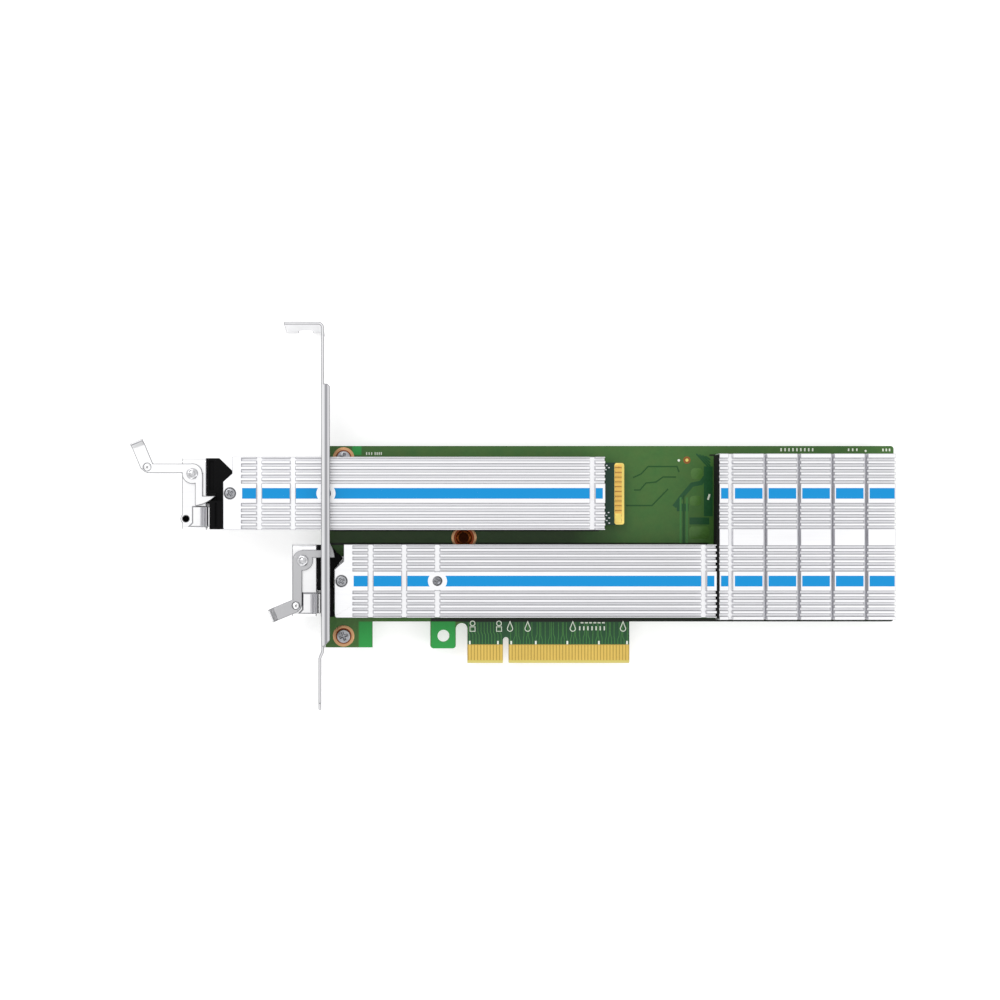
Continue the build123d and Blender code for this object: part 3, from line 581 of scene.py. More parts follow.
# Painted shadow: narrow dark bands under the edges of the covers and of the fixed heatsink.
SHADOW_BOXES = [
    (-56.0, 29.6, 41.70, 42.60),
    (-56.0, 64.5, 37.30, 38.30),
    (-56.0, 29.6, 65.00, 65.45),
    (64.4, 122.0, 65.60, 66.35),
    (-24.0, 123.0, 13.00, 14.45),
]
BLADE_X = (-14.0, 42.0)
TEAL_BOX = (*BLADE_X, -1.0, 15.0)
BLADE_BOX = (*BLADE_X, -1.0, 6.0)
TIP_BOX = (*BLADE_X, -1.0, 0.95)
SHADE_BOX = (-60.0, 26.0, 37.8, 42.3)
board_paint = finish(
    "board_paint", linear(50, 100, 44), 0.0, 0.36, EVEN, 900, 0.26, 0.08, 0.15, 0.00001, specular=0.3
)
board_tree = board_paint.node_tree
board_x, board_y, board_z, board_place = place_of(board_tree)
weave = board_tree.nodes.new("ShaderNodeTexNoise")
weave.inputs["Scale"].default_value = 260.0
weave.inputs["Detail"].default_value = 4.0
join(board_tree, (board_place, weave.inputs["Vector"]))
clear = 0.0
for box in CLEAR_BOXES:
    clear_box = inside_box(board_tree, board_x, board_y, box, 0.5, 0.5)
    clear = math_node(board_tree, "MAXIMUM", clear, clear_box)
teal_zone = inside_box(board_tree, board_x, board_y, TEAL_BOX, 1.0, 1.0)
shade_zone = inside_box(board_tree, board_x, board_y, SHADE_BOX, 6.0, 0.3)
front_face = math_node(board_tree, "GREATER_THAN", board_z, -0.40)
layers = [
    (product(board_tree, weave.outputs["Fac"], 0.45), linear(92, 108, 50)),
    (product(board_tree, teal_zone, 0.80), linear(20, 70, 46)),
    (product(board_tree, shade_zone, front_face, 0.45), linear(26, 36, 16)),
]
for box in SHADOW_BOXES:
    shadow_zone = inside_box(board_tree, board_x, board_y, box, 0.3, 0.25)
    layers.append((product(board_tree, shadow_zone, front_face), linear(14, 22, 8)))
layers.append((clear, linear(40, 148, 66)))
board_green = colour_of(board_tree)
for layer_mask, layer_colour in layers:
    board_green = mix_colour(board_tree, layer_mask, board_green, layer_colour)
edge_mask = inside(board_tree, board_z, BOARD_BACK + 0.05, -0.05, 0.03)
blade_mask = inside_box(board_tree, board_x, board_y, BLADE_BOX, 1.0, 0.1)
tip_mask = inside_box(board_tree, board_x, board_y, TIP_BOX, 1.0, 0.1)
edge_alone = math_node(board_tree, "SUBTRACT", edge_mask, blade_mask)
bare_mask = math_node(board_tree, "MAXIMUM", edge_mask, blade_mask)
bare_colour = mix_colour(board_tree, tip_mask, linear(176, 146, 66), linear(208, 194, 108))
bare_colour = mix_colour(board_tree, edge_alone, bare_colour, linear(112, 132, 78))
recolour(board_tree, mix_colour(board_tree, bare_mask, board_green, bare_colour))
print("board paint made")

# %% Copper ring
RING_LIGHT = linear(196, 152, 112)
RING_DARK = (linear(74, 30, 12), linear(150, 70, 48))


def copper(name, centre, dark_radius, light=RING_LIGHT, dark=RING_DARK, soft=0.25):
    """Plated copper, dark brown near the centre and bright past the dark radius."""
    made = finish(name, light, 1.0, 0.36, EVEN, 1500, 0.24)
    tree = made.node_tree
    spot_x, spot_y, _, spot = place_of(tree)
    away = away_from(tree, spot_x, spot_y, centre)
    dark_centre = inside(tree, away, -1.0, dark_radius, soft)
    noise = tree.nodes.new("ShaderNodeTexNoise")
    noise.inputs["Scale"].default_value = 900.0
    join(tree, (spot, noise.inputs["Vector"]))
    brown = mix_colour(tree, noise.outputs["Fac"], *dark)
    recolour(tree, mix_colour(tree, dark_centre, colour_of(tree), brown))
    return made


# %% Finishes of the CAD nodes
# Painted highlight: above LIP_START the lower lever's lip is painted near white.
LIP_START = 7.50
lever_tree = shaded_lever_steel.node_tree
bent_z = place_of(lever_tree)[2]
lip_highlight_mask = math_node(lever_tree, "GREATER_THAN", bent_z, LIP_START)
recolour(lever_tree, mix_colour(lever_tree, lip_highlight_mask, colour_of(lever_tree), linear(254, 254, 255)))
# Painted shade on the bracket's front: the flange is painted greyer, and a band on it darker still.
FLANGE = (-57.55, -55.60)
FLANGE_SHADE = (-57.45, -56.30)
FLANGE_FRONT = 14.80
bracket_tree = bracket_steel.node_tree
bend_x, _, bend_z = place_of(bracket_tree)[:3]
in_front = math_node(bracket_tree, "GREATER_THAN", bend_z, FLANGE_FRONT)
flange_shade_mask = product(bracket_tree, in_front, inside(bracket_tree, bend_x, *FLANGE, 0.20))
shade_mask = product(bracket_tree, in_front, inside(bracket_tree, bend_x, *FLANGE_SHADE, 0.45))
bracket_colour = mix_colour(bracket_tree, flange_shade_mask, colour_of(bracket_tree), linear(214, 214, 217))
bracket_colour = mix_colour(bracket_tree, shade_mask, bracket_colour, linear(146, 146, 150))
recolour(bracket_tree, bracket_colour)
SLED_FINISH = {
    "tray": sled_steel,
    "standoffs": brass,
    "bezel": black_plastic,
    "contact_spring": spring_steel,
    "cover_screws": screw_steel,
    "module_board": module_mask,
    "module_fingers": gold,
    "module_chips": chip_resin,
    "thermal_pad": pad_grey,
    "module_screw": screw_steel,
    "lever_pivot": pivot_steel,
    "lever": sled_steel,
    "guide": black_plastic,
    "socket": black_plastic,
}
CARD_FINISH = {
    "circuit_board": board_paint,
    "edge_fingers": gold,
    "bracket": bracket_steel,
    "bracket_screws": screw_steel,
    "fixed_heatsink": block_metal,
    "upper_heatsink": cover_metal["upper"],
    "lower_heatsink": cover_metal["lower"],
    "block_screws": screw_steel,
    "bumper_strip": black_rubber,
    "switch_chip": chip_resin,
    "switch_pad": pad_grey,
    "regulators": chip_resin,
    "capacitors": ceramic_tan,
}
for name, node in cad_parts.items():
    own = name.removeprefix("upper_").removeprefix("lower_")
    # The lower lever takes the darker copy of the steel: painted shade.
    chosen = shaded_lever_steel if name == "lower_lever" else CARD_FINISH.get(name) or SLED_FINISH[own]
    node.data.materials.clear()
    node.data.materials.append(chosen)
print("painted", len(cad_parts), "nodes")

# %% [markdown]
# ## Soft edges on the CAD pieces
# Real sheet metal and milled aluminium have small rounds on their edges that catch the light.
# Each CAD mesh is merged, its flat faces are joined, and a bevel with weighted normals follows.
# The sheared edges of the sheet metal are duller than its faces, so their bevels take a darker
# steel, which is also painted shade along the edges. The bevels of the heatsinks take a darker
# aluminium: painted shade along the milled edges.

# %% Soft edges
def soften(name, width, segments=2, cut=None):
    """Rounds a CAD node's sharp edges and keeps its flats flat; a darker edge finish, painted shade, goes on
    the rounds.
    """
    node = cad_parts[name]
    weld = node.modifiers.new("weld", "WELD")
    weld.merge_threshold = 0.002 * MM
    flat = node.modifiers.new("flat", "DECIMATE")
    flat.decimate_type = "DISSOLVE"
    flat.angle_limit = math.radians(1.0)
    bevel = node.modifiers.new("bevel", "BEVEL")
    bevel.width = width * MM
    bevel.segments = segments
    bevel.limit_method = "ANGLE"
    bevel.angle_limit = math.radians(35)
    bevel.use_clamp_overlap = False
    if cut:
        node.data.materials.append(cut)
        bevel.material = 1
    weigh = node.modifiers.new("weigh", "WEIGHTED_NORMAL")
    weigh.mode = "FACE_AREA"
    weigh.weight = 100
    weigh.keep_sharp = True
    for polygon in node.data.polygons:
        polygon.use_smooth = True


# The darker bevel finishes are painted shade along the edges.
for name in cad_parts:
    if name.endswith(("tray", "lever", "bracket")):
        soften(name, 0.24, cut=sheared_and_shaded_steel)
    elif name.endswith("heatsink"):
        soften(name, 0.13, cut=edge_shade_aluminium)
    elif name.endswith(("bezel", "socket", "guide", "chips", "switch_chip", "regulators")):
        soften(name, 0.10)
print("softened")

# %% [markdown]
# ## Helpers for shapes
# A patch is an array of points in millimetres, an array of four-sided faces, and any caps. Every
# shape below is either a grid of two parameters or a section carried along a line, so a whole
# piece is a handful of arrays.

# %% Patches
def grid_faces(rows, columns, close_rows=False, close_columns=False):
    """Four-sided faces between neighbours of a grid of points numbered row by row."""
    row = np.arange(rows if close_rows else rows - 1)
    column = np.arange(columns if close_columns else columns - 1)
    row, column = (a.ravel() for a in np.meshgrid(row, column, indexing="ij"))
    next_row = (row + 1) % rows
    next_column = (column + 1) % columns
    corners = ((row, column), (row, next_column), (next_row, next_column), (next_row, column))
    return np.stack([r * columns + c for r, c in corners], -1)


def turned(profile, centre, columns=48, ring=False, down=False):
    """A turned patch: (radius, height) pairs go round the centre; a ring's profile closes on itself."""
    radius, rise = np.asarray(profile, float).T
    turn = np.linspace(0, 2 * np.pi, columns, endpoint=False)
    x = centre[0] + np.outer(radius, np.cos(turn))
    y = centre[1] + np.outer(radius, np.sin(turn))
    z = centre[2] + np.outer(-rise if down else rise, np.ones(columns))
    points = np.stack([x, y, z], -1).reshape(-1, 3)
    return points, grid_faces(len(radius), columns, ring, True)


def ribbon(line, width, low, high, closed=False):
    """A strip along a flat line of points: corners mitred, section a rectangle from low to high."""
    line = np.asarray(line, float)
    ahead = np.roll(line, -1, 0) - line
    if not closed:
        ahead[-1] = ahead[-2]
    ahead /= np.linalg.norm(ahead, axis=1, keepdims=True)
    behind = np.roll(ahead, 1, 0)
    if not closed:
        behind[0] = ahead[0]
    middle = ahead + behind
    middle /= np.linalg.norm(middle, axis=1, keepdims=True)
    side = np.stack([-middle[:, 1], middle[:, 0]], 1)
    square = np.stack([-ahead[:, 1], ahead[:, 0]], 1)
    reach = width / 2 / np.sum(side * square, axis=1, keepdims=True)
    left, right = line + side * reach, line - side * reach
    corners = [(left, low), (left, high), (right, high), (right, low)]
    points = np.stack([np.column_stack([p, np.full(len(line), z)]) for p, z in corners], 1).reshape(-1, 3)
    faces = grid_faces(len(line), 4, closed, True)
    if closed:
        return points, faces
    last = 4 * (len(line) - 1)
    return points, faces, np.arange(4), np.arange(last, last + 4)


def rounded_block(low, high, corner=0.15, edge=0.08):
    """A block between two corners: rounded upright corners, and top and bottom edges as quarter rounds."""
    low, high = np.asarray(low, float), np.asarray(high, float)
    quarter = np.linspace(0, np.pi / 2, 4)
    around = np.concatenate([quarter + k * np.pi / 2 for k in range(4)])
    sign_x = np.repeat([1, -1, -1, 1], 4)
    sign_y = np.repeat([1, 1, -1, -1], 4)
    bend = np.linspace(0, np.pi / 2, 3)
    inset = np.concatenate([edge * (1 - np.sin(bend)), edge * (1 - np.cos(bend))])
    rise = np.concatenate([edge * (1 - np.cos(bend)), high[2] - low[2] - edge * (1 - np.sin(bend))])
    middle, half = (low + high) / 2, (high - low) / 2
    radius = (corner - inset)[:, None]
    x = middle[0] + sign_x * (half[0] - corner) + radius * np.cos(around)
    y = middle[1] + sign_y * (half[1] - corner) + radius * np.sin(around)
    z = np.broadcast_to((low[2] + rise)[:, None], x.shape)
    points = np.stack([x, y, z], -1).reshape(-1, 3)
    last = 16 * (len(rise) - 1)
    return points, grid_faces(len(rise), 16, False, True), np.arange(16), np.arange(last, last + 16)


def block_at(middle, half, low, high, corner, edge):
    """A rounded block by its middle and half sizes, seen from above, between two heights."""
    (x, y), (wide, deep) = middle, half
    return rounded_block((x - wide, y - deep, low), (x + wide, y + deep, high), corner, edge)


def piece(name, patches, material, body, replaces=()):
    """One object made of patches: metres, doubles merged, normals outward, sharp edges kept."""
    points, faces, start = [], [], 0
    for spots, quads, *caps in patches:
        points.append(spots)
        faces.extend((quads + start).tolist())
        faces.extend((cap + start).tolist() for cap in caps)
        start += len(spots)
    mesh = bpy.data.meshes.new(name)
    mesh.from_pydata((np.concatenate(points) * MM).tolist(), [], faces)
    work = bmesh.new()
    work.from_mesh(mesh)
    bmesh.ops.remove_doubles(work, verts=work.verts, dist=0.0005 * MM)
    bmesh.ops.recalc_face_normals(work, faces=work.faces)
    for face in work.faces:
        face.smooth = True
    work.to_mesh(mesh)
    work.free()
    mesh.set_sharp_from_angle(angle=math.radians(38))
    mesh.materials.append(material)
    made = bpy.data.objects.new(name, mesh)
    bpy.context.scene.collection.objects.link(made)
    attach(made, body)
    if replaces:
        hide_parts(*replaces)
    return made


print("shape helpers ready")

# %% [markdown]
# ## Screws
# Every head is one surface: the height over a turned pan profile, minus the depth of a cross
# recess made of two crossing slots with sloped walls. The same surface runs on down the shank.
# Each kind of screw is given by the head's radius, the dome's height, the shank's radius and the
# length of the shank.

# %% Screws
def cross_depth(x, y, reach, width, depth):
    """Depth of the driver recess over a place on the head, zero outside the two slots."""
    slope = 0.22 * width

    def slot(across, along):
        """How far a place lies inside one slot, from 0 to 1."""
        side = np.clip((width / 2 - np.abs(across)) / slope, 0, 1)
        end = np.clip((reach - np.abs(along)) / slope, 0, 1)
        return side * end

    return depth * np.maximum(slot(x, y), slot(y, x))


def screw(centre, head, rise, shank, length, down=False, turn=0.0):
    """A pan head screw seated at its centre: dome, rounded rim, flat seat, shank and blunt end."""
    top = np.linspace(0, 0.90, 20)
    dome = [(head * t, rise * (1 - 0.16 * t**2)) for t in top]
    rim = [(head * 0.96, rise * 0.80), (head * 0.99, rise * 0.66)]
    rim += [(head, rise * 0.50), (head, 0.04), (head, 0.0)]
    shaft = [(shank, 0.0), (shank, -length + 0.3), (shank - 0.25, -length), (0.0, -length)]
    columns = 72
    points, faces = turned(dome + rim + shaft, (0, 0, 0), columns)
    tops = len(dome) * columns
    cut = cross_depth(points[:tops, 0], points[:tops, 1], head * 0.66, head * 0.34, rise * 0.85)
    points[:tops, 2] -= cut
    c, s = math.cos(turn), math.sin(turn)
    spun = points @ np.array([[c, s, 0], [-s, c, 0], [0, 0, 1]])
    if down:
        spun = spun * np.array([1, -1, -1])
    return spun + np.asarray(centre, float), faces


BRACKET_SCREW = (2.15, 1.70, 1.22, 3.10)
BLOCK_SCREW = (2.00, 1.20, 0.97, 4.90)
PLATE_SCREW = (1.65, 1.00, 0.95, 6.90)
BOSS_SCREW = (1.35, 1.00, 0.95, 4.00)
MODULE_SCREW = (2.30, 0.90, 0.95, 2.05)
BRACKET_SPOTS = [(-51.50, 8.63), (-51.50, 65.10)]
piece(
    "bracket_screw_heads",
    [screw((x, y, 0.0), *BRACKET_SCREW, turn=0.35 + i) for i, (x, y) in enumerate(BRACKET_SPOTS)],
    screw_steel, "card", ["bracket_screws"]
)
BLOCK_POSTS = [(x, y) for x in (82.00, 114.23) for y in (18.78, 61.67)]
piece(
    "block_screw_heads",
    [screw((x, y, BOARD_BACK), *BLOCK_SCREW, down=True, turn=i) for i, (x, y) in enumerate(BLOCK_POSTS)],
    screw_steel, "card", ["block_screws"]
)
MODULE_SCREW_X = -8.70
PLATE_SEAT = 10.90
BOSS_SEAT = 8.00
MODULE_FRONT = 4.00
for lane, (shift, lane_y) in LANES.items():
    piece(
        f"{lane}_cover_screw_heads",
        [
            screw((PLATE_SCREW_X + shift, lane_y, PLATE_SEAT), *PLATE_SCREW, turn=0.55),
            screw((BOSS_X + shift, lane_y, BOSS_SEAT), *BOSS_SCREW, turn=0.20),
        ],
        screw_steel, f"{lane}_sled", [f"{lane}_cover_screws"]
    )
    piece(
        f"{lane}_module_screw_head",
        [screw((MODULE_SCREW_X + shift, lane_y, MODULE_FRONT), *MODULE_SCREW, turn=0.8)],
        screw_steel, f"{lane}_sled", [f"{lane}_module_screw"]
    )
print("screws made")

# %% [markdown]
# ## Lever pivots
# The rivet is a wide low head with a raised rim and a shallow dish in the middle, turned round the
# lever's axis. Its shank goes through the lever and the platform, and ends in a small foot.

# %% Lever pivots
PIVOT = (-64.30, 6.25)
rivet = [
    (0.0, 0.60), (0.35, 0.56), (0.62, 0.36), (0.80, 0.34), (1.05, 0.62), (1.30, 0.72), (1.55, 0.64),
    (1.75, 0.40), (1.84, 0.08), (1.80, 0.0), (1.20, 0.0), (1.20, -2.45), (1.05, -2.55), (0.0, -2.55),
]
RIVET_SEAT = 7.45
for lane, (shift, lane_y) in LANES.items():
    centre = (PIVOT[0] + shift, lane_y + PIVOT[1], RIVET_SEAT)
    piece(
        f"{lane}_rivet", [turned(rivet, centre, 64)], pivot_steel, f"{lane}_sled",
        [f"{lane}_lever_pivot"]
    )
print("rivets made")

# %% [markdown]
# ## Pressed nuts
# A blind nut is pressed into the platform from below, under the hole that the lever covers
# when it is latched. Its black is painted shade for the deep threaded hole. It is a turned cup with
# a small rise in the middle of its floor.

# %% Pressed nuts
LOCK_HOLE = (-66.39, -7.85)
PLATFORM_BACK = 5.40
nut = [
    (0.0, -1.90), (0.25, -1.95), (0.40, -2.20), (0.98, -2.20), (0.98, -0.02), (1.62, -0.02), (1.62, -2.40),
    (1.40, -2.60), (0.0, -2.60),
]
for lane, (shift, lane_y) in LANES.items():
    centre = (LOCK_HOLE[0] + shift, lane_y + LOCK_HOLE[1], PLATFORM_BACK)
    # The nut's black is painted shade for the deep hole.
    piece(f"{lane}_pressed_nut", [turned(nut, centre, 40)], black_rubber, f"{lane}_sled")
print("nuts made")

# %% [markdown]
# ## Lever studs
# A short bright stud fills the hole at the bend of each lever. It stands over the pressed nut when
# the lever is latched. Its top is a shallow dome, and a thin dark plate on it is painted shade in
# place of a slot.

# %% Lever studs
STUD_PLACES = {"upper": (-112.90, 61.98), "lower": (-66.39, 18.65)}
STUD_BASE = 6.38
stud = [(0.0, 1.10), (0.45, 1.08), (0.85, 1.00), (1.05, 0.84), (1.08, 0.0), (0.0, 0.0)]
for lane, (x, y) in STUD_PLACES.items():
    patch = turned(stud, (x, y, STUD_BASE), 40)
    piece(f"{lane}_lever_stud", [patch], sled_steel, f"{lane}_lever")
    # Painted shade: a thin dark plate on the stud's dome stands for a slot.
    slot_shade_block = block_at((x, y), (0.16, 0.42), 7.40, 7.50, 0.10, 0.02)
    piece(f"{lane}_stud_slot_shade", [slot_shade_block], slot_shade_steel, f"{lane}_lever")
print("studs made")

# %% [markdown]
# ## Low bezel fillers
# Between the platform and the bracket the bezel has a lower step that closes the window under the
# claw. It is a rounded block with its top just below the lever's sheet.

# %% Low bezel fillers
FILLER_X = (-59.85, -56.75)
FILLER_Y = (-3.15, 0.30)
FILLER_Z = (2.35, 6.04)
for lane, (shift, lane_y) in LANES.items():
    low = (FILLER_X[0] + shift, lane_y + FILLER_Y[0], FILLER_Z[0])
    high = (FILLER_X[1] + shift, lane_y + FILLER_Y[1], FILLER_Z[1])
    patch = rounded_block(low, high, 0.20, 0.10)
    piece(f"{lane}_low_filler", [patch], black_plastic, f"{lane}_sled")
print("fillers made")

# %% [markdown]
# ## Copper rings
# Plated copper shows round the two bracket screws and round the spare hole. Each ring is a thin
# flat collar with a lining that goes down through the hole. The spare hole isn't seen through in
# the photo: it is closed by a brown bowl, darkest in the middle.

# %% Copper rings
def collar(centre, bore, outer, thick=0.04):
    """A plated hole: a collar on each face of the board and the lining between them, as one loop."""
    wall = bore - 0.05
    loop = [
        (bore, thick), (outer - 0.03, thick), (outer, thick - 0.02), (outer, 0.0), (bore, 0.0),
        (bore, BOARD_BACK), (outer, BOARD_BACK), (outer, BOARD_BACK - thick + 0.02),
        (outer - 0.03, BOARD_BACK - thick), (bore, BOARD_BACK - thick), (wall, BOARD_BACK - thick + 0.02),
        (wall, thick - 0.02),
    ]
    return turned(loop, (*centre, 0.0), 64, ring=True)


SPARE_HOLE = (-13.30, 39.75)
for i, centre in enumerate(BRACKET_SPOTS):
    piece(
        f"screw_ring_{i + 1}", [collar(centre, 1.60, 3.40)], copper(f"copper_{i + 1}", centre, 2.62), "card",
    )
piece("spare_ring", [collar(SPARE_HOLE, 2.75, 4.00)], copper("copper_3", SPARE_HOLE, 3.35), "card")
bowl = [
    (0.0, -1.30), (0.90, -1.29), (1.60, -1.22), (2.10, -1.02), (2.45, -0.66), (2.60, -0.20), (2.69, -0.20),
    (2.69, -1.50), (0.0, -1.50),
]
BOWL_LIGHT = linear(176, 98, 44)
BOWL_DARK = (linear(16, 7, 4), linear(60, 26, 12))
hole_bowl_copper = copper("hole_bowl_copper", SPARE_HOLE, 2.05, BOWL_LIGHT, BOWL_DARK, 0.5)
piece("spare_hole_plug", [turned(bowl, (*SPARE_HOLE, 0.0), 64)], hole_bowl_copper, "card")
print("rings made")

# %% [markdown]
# ## Contact springs
# A thin sheet bent into three round ridges lies on the tray's boss and touches the bracket. Its
# section follows the height (1 - cos(6 pi u)) / 2 along the width u.

# %% Contact springs
SPRING_LEFT = -61.85
SPRING_WIDTH = 2.50
SPRING_SPAN = (-10.20, -4.20)
SPRING_SEAT = 6.99
SPRING_RISE = 0.42
for lane, (shift, lane_y) in LANES.items():
    u = np.linspace(0, 1, 49)
    section = np.column_stack([
        SPRING_LEFT + shift + SPRING_WIDTH * u,
        SPRING_SEAT + SPRING_RISE * (1 - np.cos(6 * np.pi * u)) / 2,
    ])
    points, *faces = ribbon(section, 0.18, lane_y + SPRING_SPAN[0], lane_y + SPRING_SPAN[1])
    piece(
        f"{lane}_ribbed_spring", [(points[:, [0, 2, 1]], *faces)], spring_steel, f"{lane}_sled",
        [f"{lane}_contact_spring"]
    )
print("springs made")

# %% [markdown]
# ## The module's plug end
# The front of the tongue has a pale gilded rim. Inside it narrow gold bars lie 0.5 mm apart on
# laminate whose inner copper shows through as browner bands every 1.5 mm, and a wide plain pad
# lies at the lower corner. Tiny parts sit on the board beside it, near its corners.

# %% Module plug finish
BAND_PITCH = 1.50
band_tree = laminate_tan.node_tree
band_y = place_of(band_tree)[1]
band_wave = math_node(band_tree, "SINE", math_node(band_tree, "MULTIPLY", band_y, 2 * math.pi / BAND_PITCH))
band_mask = math_node(band_tree, "MULTIPLY_ADD", band_wave, 0.5, 0.5)
band_colour = mix_colour(band_tree, band_mask, linear(238, 186, 84), linear(150, 84, 20))
recolour(band_tree, band_colour)
print("bands on", laminate_tan.name)

# %% Module plug
MODULE_BACK = 3.20
RIM = (68.20, 71.28)
FIELD = (68.30, 70.50)
FIELD_SPAN = (-9.10, 9.20)
RIM_SPAN = (-9.70, 9.70)
BAR_PITCH = 0.50
BAR_WIDTH = 0.22
WIDE_PAD = (-9.00, -6.20)
BAR_START = -5.50
BAR_COUNT = 30
SPECKS = [
    (65.7, 8.9), (66.4, 8.2), (65.4, 7.6), (66.3, -5.9), (65.6, -6.8), (66.5, -7.6), (65.7, -8.4),
    (66.5, -9.2),
]
SPECK_HALF = (0.28, 0.18)
SPECK_TOP = 4.35
for lane, (shift, lane_y) in LANES.items():
    left, right = FIELD[0] + shift, FIELD[1] + shift
    rim_low, rim_high = (RIM[0] + shift, lane_y + RIM_SPAN[0]), (RIM[1] + shift, lane_y + RIM_SPAN[1])
    field_low, field_high = (left, lane_y + FIELD_SPAN[0]), (right, lane_y + FIELD_SPAN[1])
    bars, rim, field = [], [], []
    for face, out in ((MODULE_FRONT, 1), (MODULE_BACK, -1)):
        levels = [face, face + 0.03 * out, face + 0.05 * out, face + 0.07 * out]
        rim_z, field_z, bar_z = (sorted(levels[i:i + 2]) for i in range(3))
        rim.append(rounded_block((*rim_low, rim_z[0]), (*rim_high, rim_z[1]), 0.75, 0.01))
        field.append(rounded_block((*field_low, field_z[0]), (*field_high, field_z[1]), 0.25, 0.008))
        pad_low, pad_high = (left + 0.1, lane_y + WIDE_PAD[0]), (right - 0.1, lane_y + WIDE_PAD[1])
        rim.append(rounded_block((*pad_low, bar_z[0]), (*pad_high, bar_z[1]), 0.25, 0.008))
        for i in range(BAR_COUNT):
            y = lane_y + BAR_START + i * BAR_PITCH
            if y < field_high[1] - 0.3:
                bars.append(ribbon([(left + 0.1, y), (right - 0.05, y)], BAR_WIDTH, *bar_z))
    piece(f"{lane}_plug_bars", bars, gold, f"{lane}_sled", [f"{lane}_module_fingers"])
    piece(f"{lane}_plug_rim", rim, pale_gold, f"{lane}_sled")
    piece(f"{lane}_plug_field", field, laminate_tan, f"{lane}_sled")
    small = [
        block_at((x + shift, lane_y + y), SPECK_HALF, MODULE_FRONT, SPECK_TOP, 0.08, 0.05) for x, y in SPECKS
    ]
    piece(f"{lane}_plug_parts", small, tin, f"{lane}_sled")
print("plugs made")

# %% Socket contacts
PIN_X = (66.94, 67.50)
PIN_LEVELS = ((2.30, 2.95), (4.25, 4.90))
PIN_COUNT = 38
PIN_START = -9.25
for lane, (shift, lane_y) in LANES.items():
    pins = []
    for low, high in PIN_LEVELS:
        for i in range(PIN_COUNT):
            y = lane_y + PIN_START + i * BAR_PITCH
            pins.append(ribbon([(PIN_X[0], y), (PIN_X[1], y)], BAR_WIDTH, low, high))
    piece(f"{lane}_socket_contacts", pins, gold, "card")
print("socket contacts made")

# %% [markdown]
# ## Small parts with tinned ends
# The capacitors beside and behind the switch chip have a tan ceramic body between two tinned caps.

# %% Capacitors
SWITCH_CENTRE = (98.115, 40.22)
FRONT_ASIDE = 14.50
FRONT_PITCH = 5.00
BACK_PITCH = 4.00
BACK_HEIGHT = 0.52
bodies, caps = [], []
for x in (-FRONT_ASIDE, FRONT_ASIDE):
    for row in range(4):
        middle = (SWITCH_CENTRE[0] + x, SWITCH_CENTRE[1] + (row - 1.5) * FRONT_PITCH)
        bodies.append(block_at(middle, (0.58, 0.62), 0.0, 0.96, 0.08, 0.06))
        for end in (-1, 1):
            cap_middle = (middle[0], middle[1] + end * 0.80)
            caps.append(block_at(cap_middle, (0.60, 0.20), 0.0, 1.00, 0.10, 0.08))
for column in range(4):
    for row in range(4):
        middle = [centre + (place - 1.5) * BACK_PITCH for centre, place in zip(SWITCH_CENTRE, (column, row))]
        deepest = BOARD_BACK - BACK_HEIGHT
        bodies.append(block_at(middle, (0.26, 0.28), deepest, BOARD_BACK, 0.05, 0.04))
        for end in (-1, 1):
            cap_middle = (middle[0] + end * 0.37, middle[1])
            caps.append(block_at(cap_middle, (0.13, 0.30), deepest - 0.03, BOARD_BACK, 0.06, 0.05))
piece("capacitor_bodies", bodies, ceramic_tan, "card", ["capacitors"])
piece("capacitor_caps", caps, tin, "card")
print("capacitors made")

# %% [markdown]
# ## Tracks and printing on the board
# Copper tracks lie under the mask and stand a little proud. Short ones leave every gold finger:
# one millimetre apart, 38 on the long side of the key slot and 11 on the short side.
# The long ones on the solder side run from the connector and from the sockets to the switch chip.

# %% Component side tracks
TRACK_HIGH = 0.035
TRACK_LOW = -0.02
TRACK_FOOT = 5.90
TRACK_END = 12.95
FIRST_FINGER = 1.50
LONG_FINGERS = 38
SHORT_FINGERS = 11
front_tracks = []
for i in range(LONG_FINGERS):
    x = FIRST_FINGER + i
    lean = 0.45 * math.sin(1.7 * i)
    front_tracks.append(ribbon(
        [(x, TRACK_FOOT), (x, 7.20 + 0.4 * (i % 3)), (x + lean, 8.40 + 0.4 * (i % 3)), (x + lean, TRACK_END)],
        0.26, TRACK_LOW, TRACK_HIGH
    ))
for i in range(SHORT_FINGERS):
    x = -FIRST_FINGER - i
    line = [(x, TRACK_FOOT), (x, 9.0), (x - 0.4, 9.8), (x - 0.4, TRACK_END)]
    front_tracks.append(ribbon(line, 0.26, TRACK_LOW, TRACK_HIGH))
for x in (55.40, 57.40):
    front_tracks.append(ribbon([(x, 52.60), (x, 38.10)], 0.60, TRACK_LOW, TRACK_HIGH))
piece("front_tracks", front_tracks, track_mask, "card")
DARK_LINES = [
    [(40.31, 58.85), (42.85, 59.99), (45.07, 62.37), (54.27, 62.37), (54.90, 60.63)],
    [(40.63, 54.92), (42.53, 54.92), (44.43, 57.14), (47.61, 57.46), (49.83, 59.04), (53.95, 59.04)],
    [(38.09, 50.00), (46.34, 50.00), (51.41, 55.24)],
    [(56.40, 53.30), (56.40, 38.10)],
]
dark_tracks = [ribbon(line, 0.42, TRACK_LOW, TRACK_HIGH) for line in DARK_LINES]
piece("dark_tracks", dark_tracks, dark_mask, "card")
print("front tracks:", len(front_tracks) + len(dark_tracks))

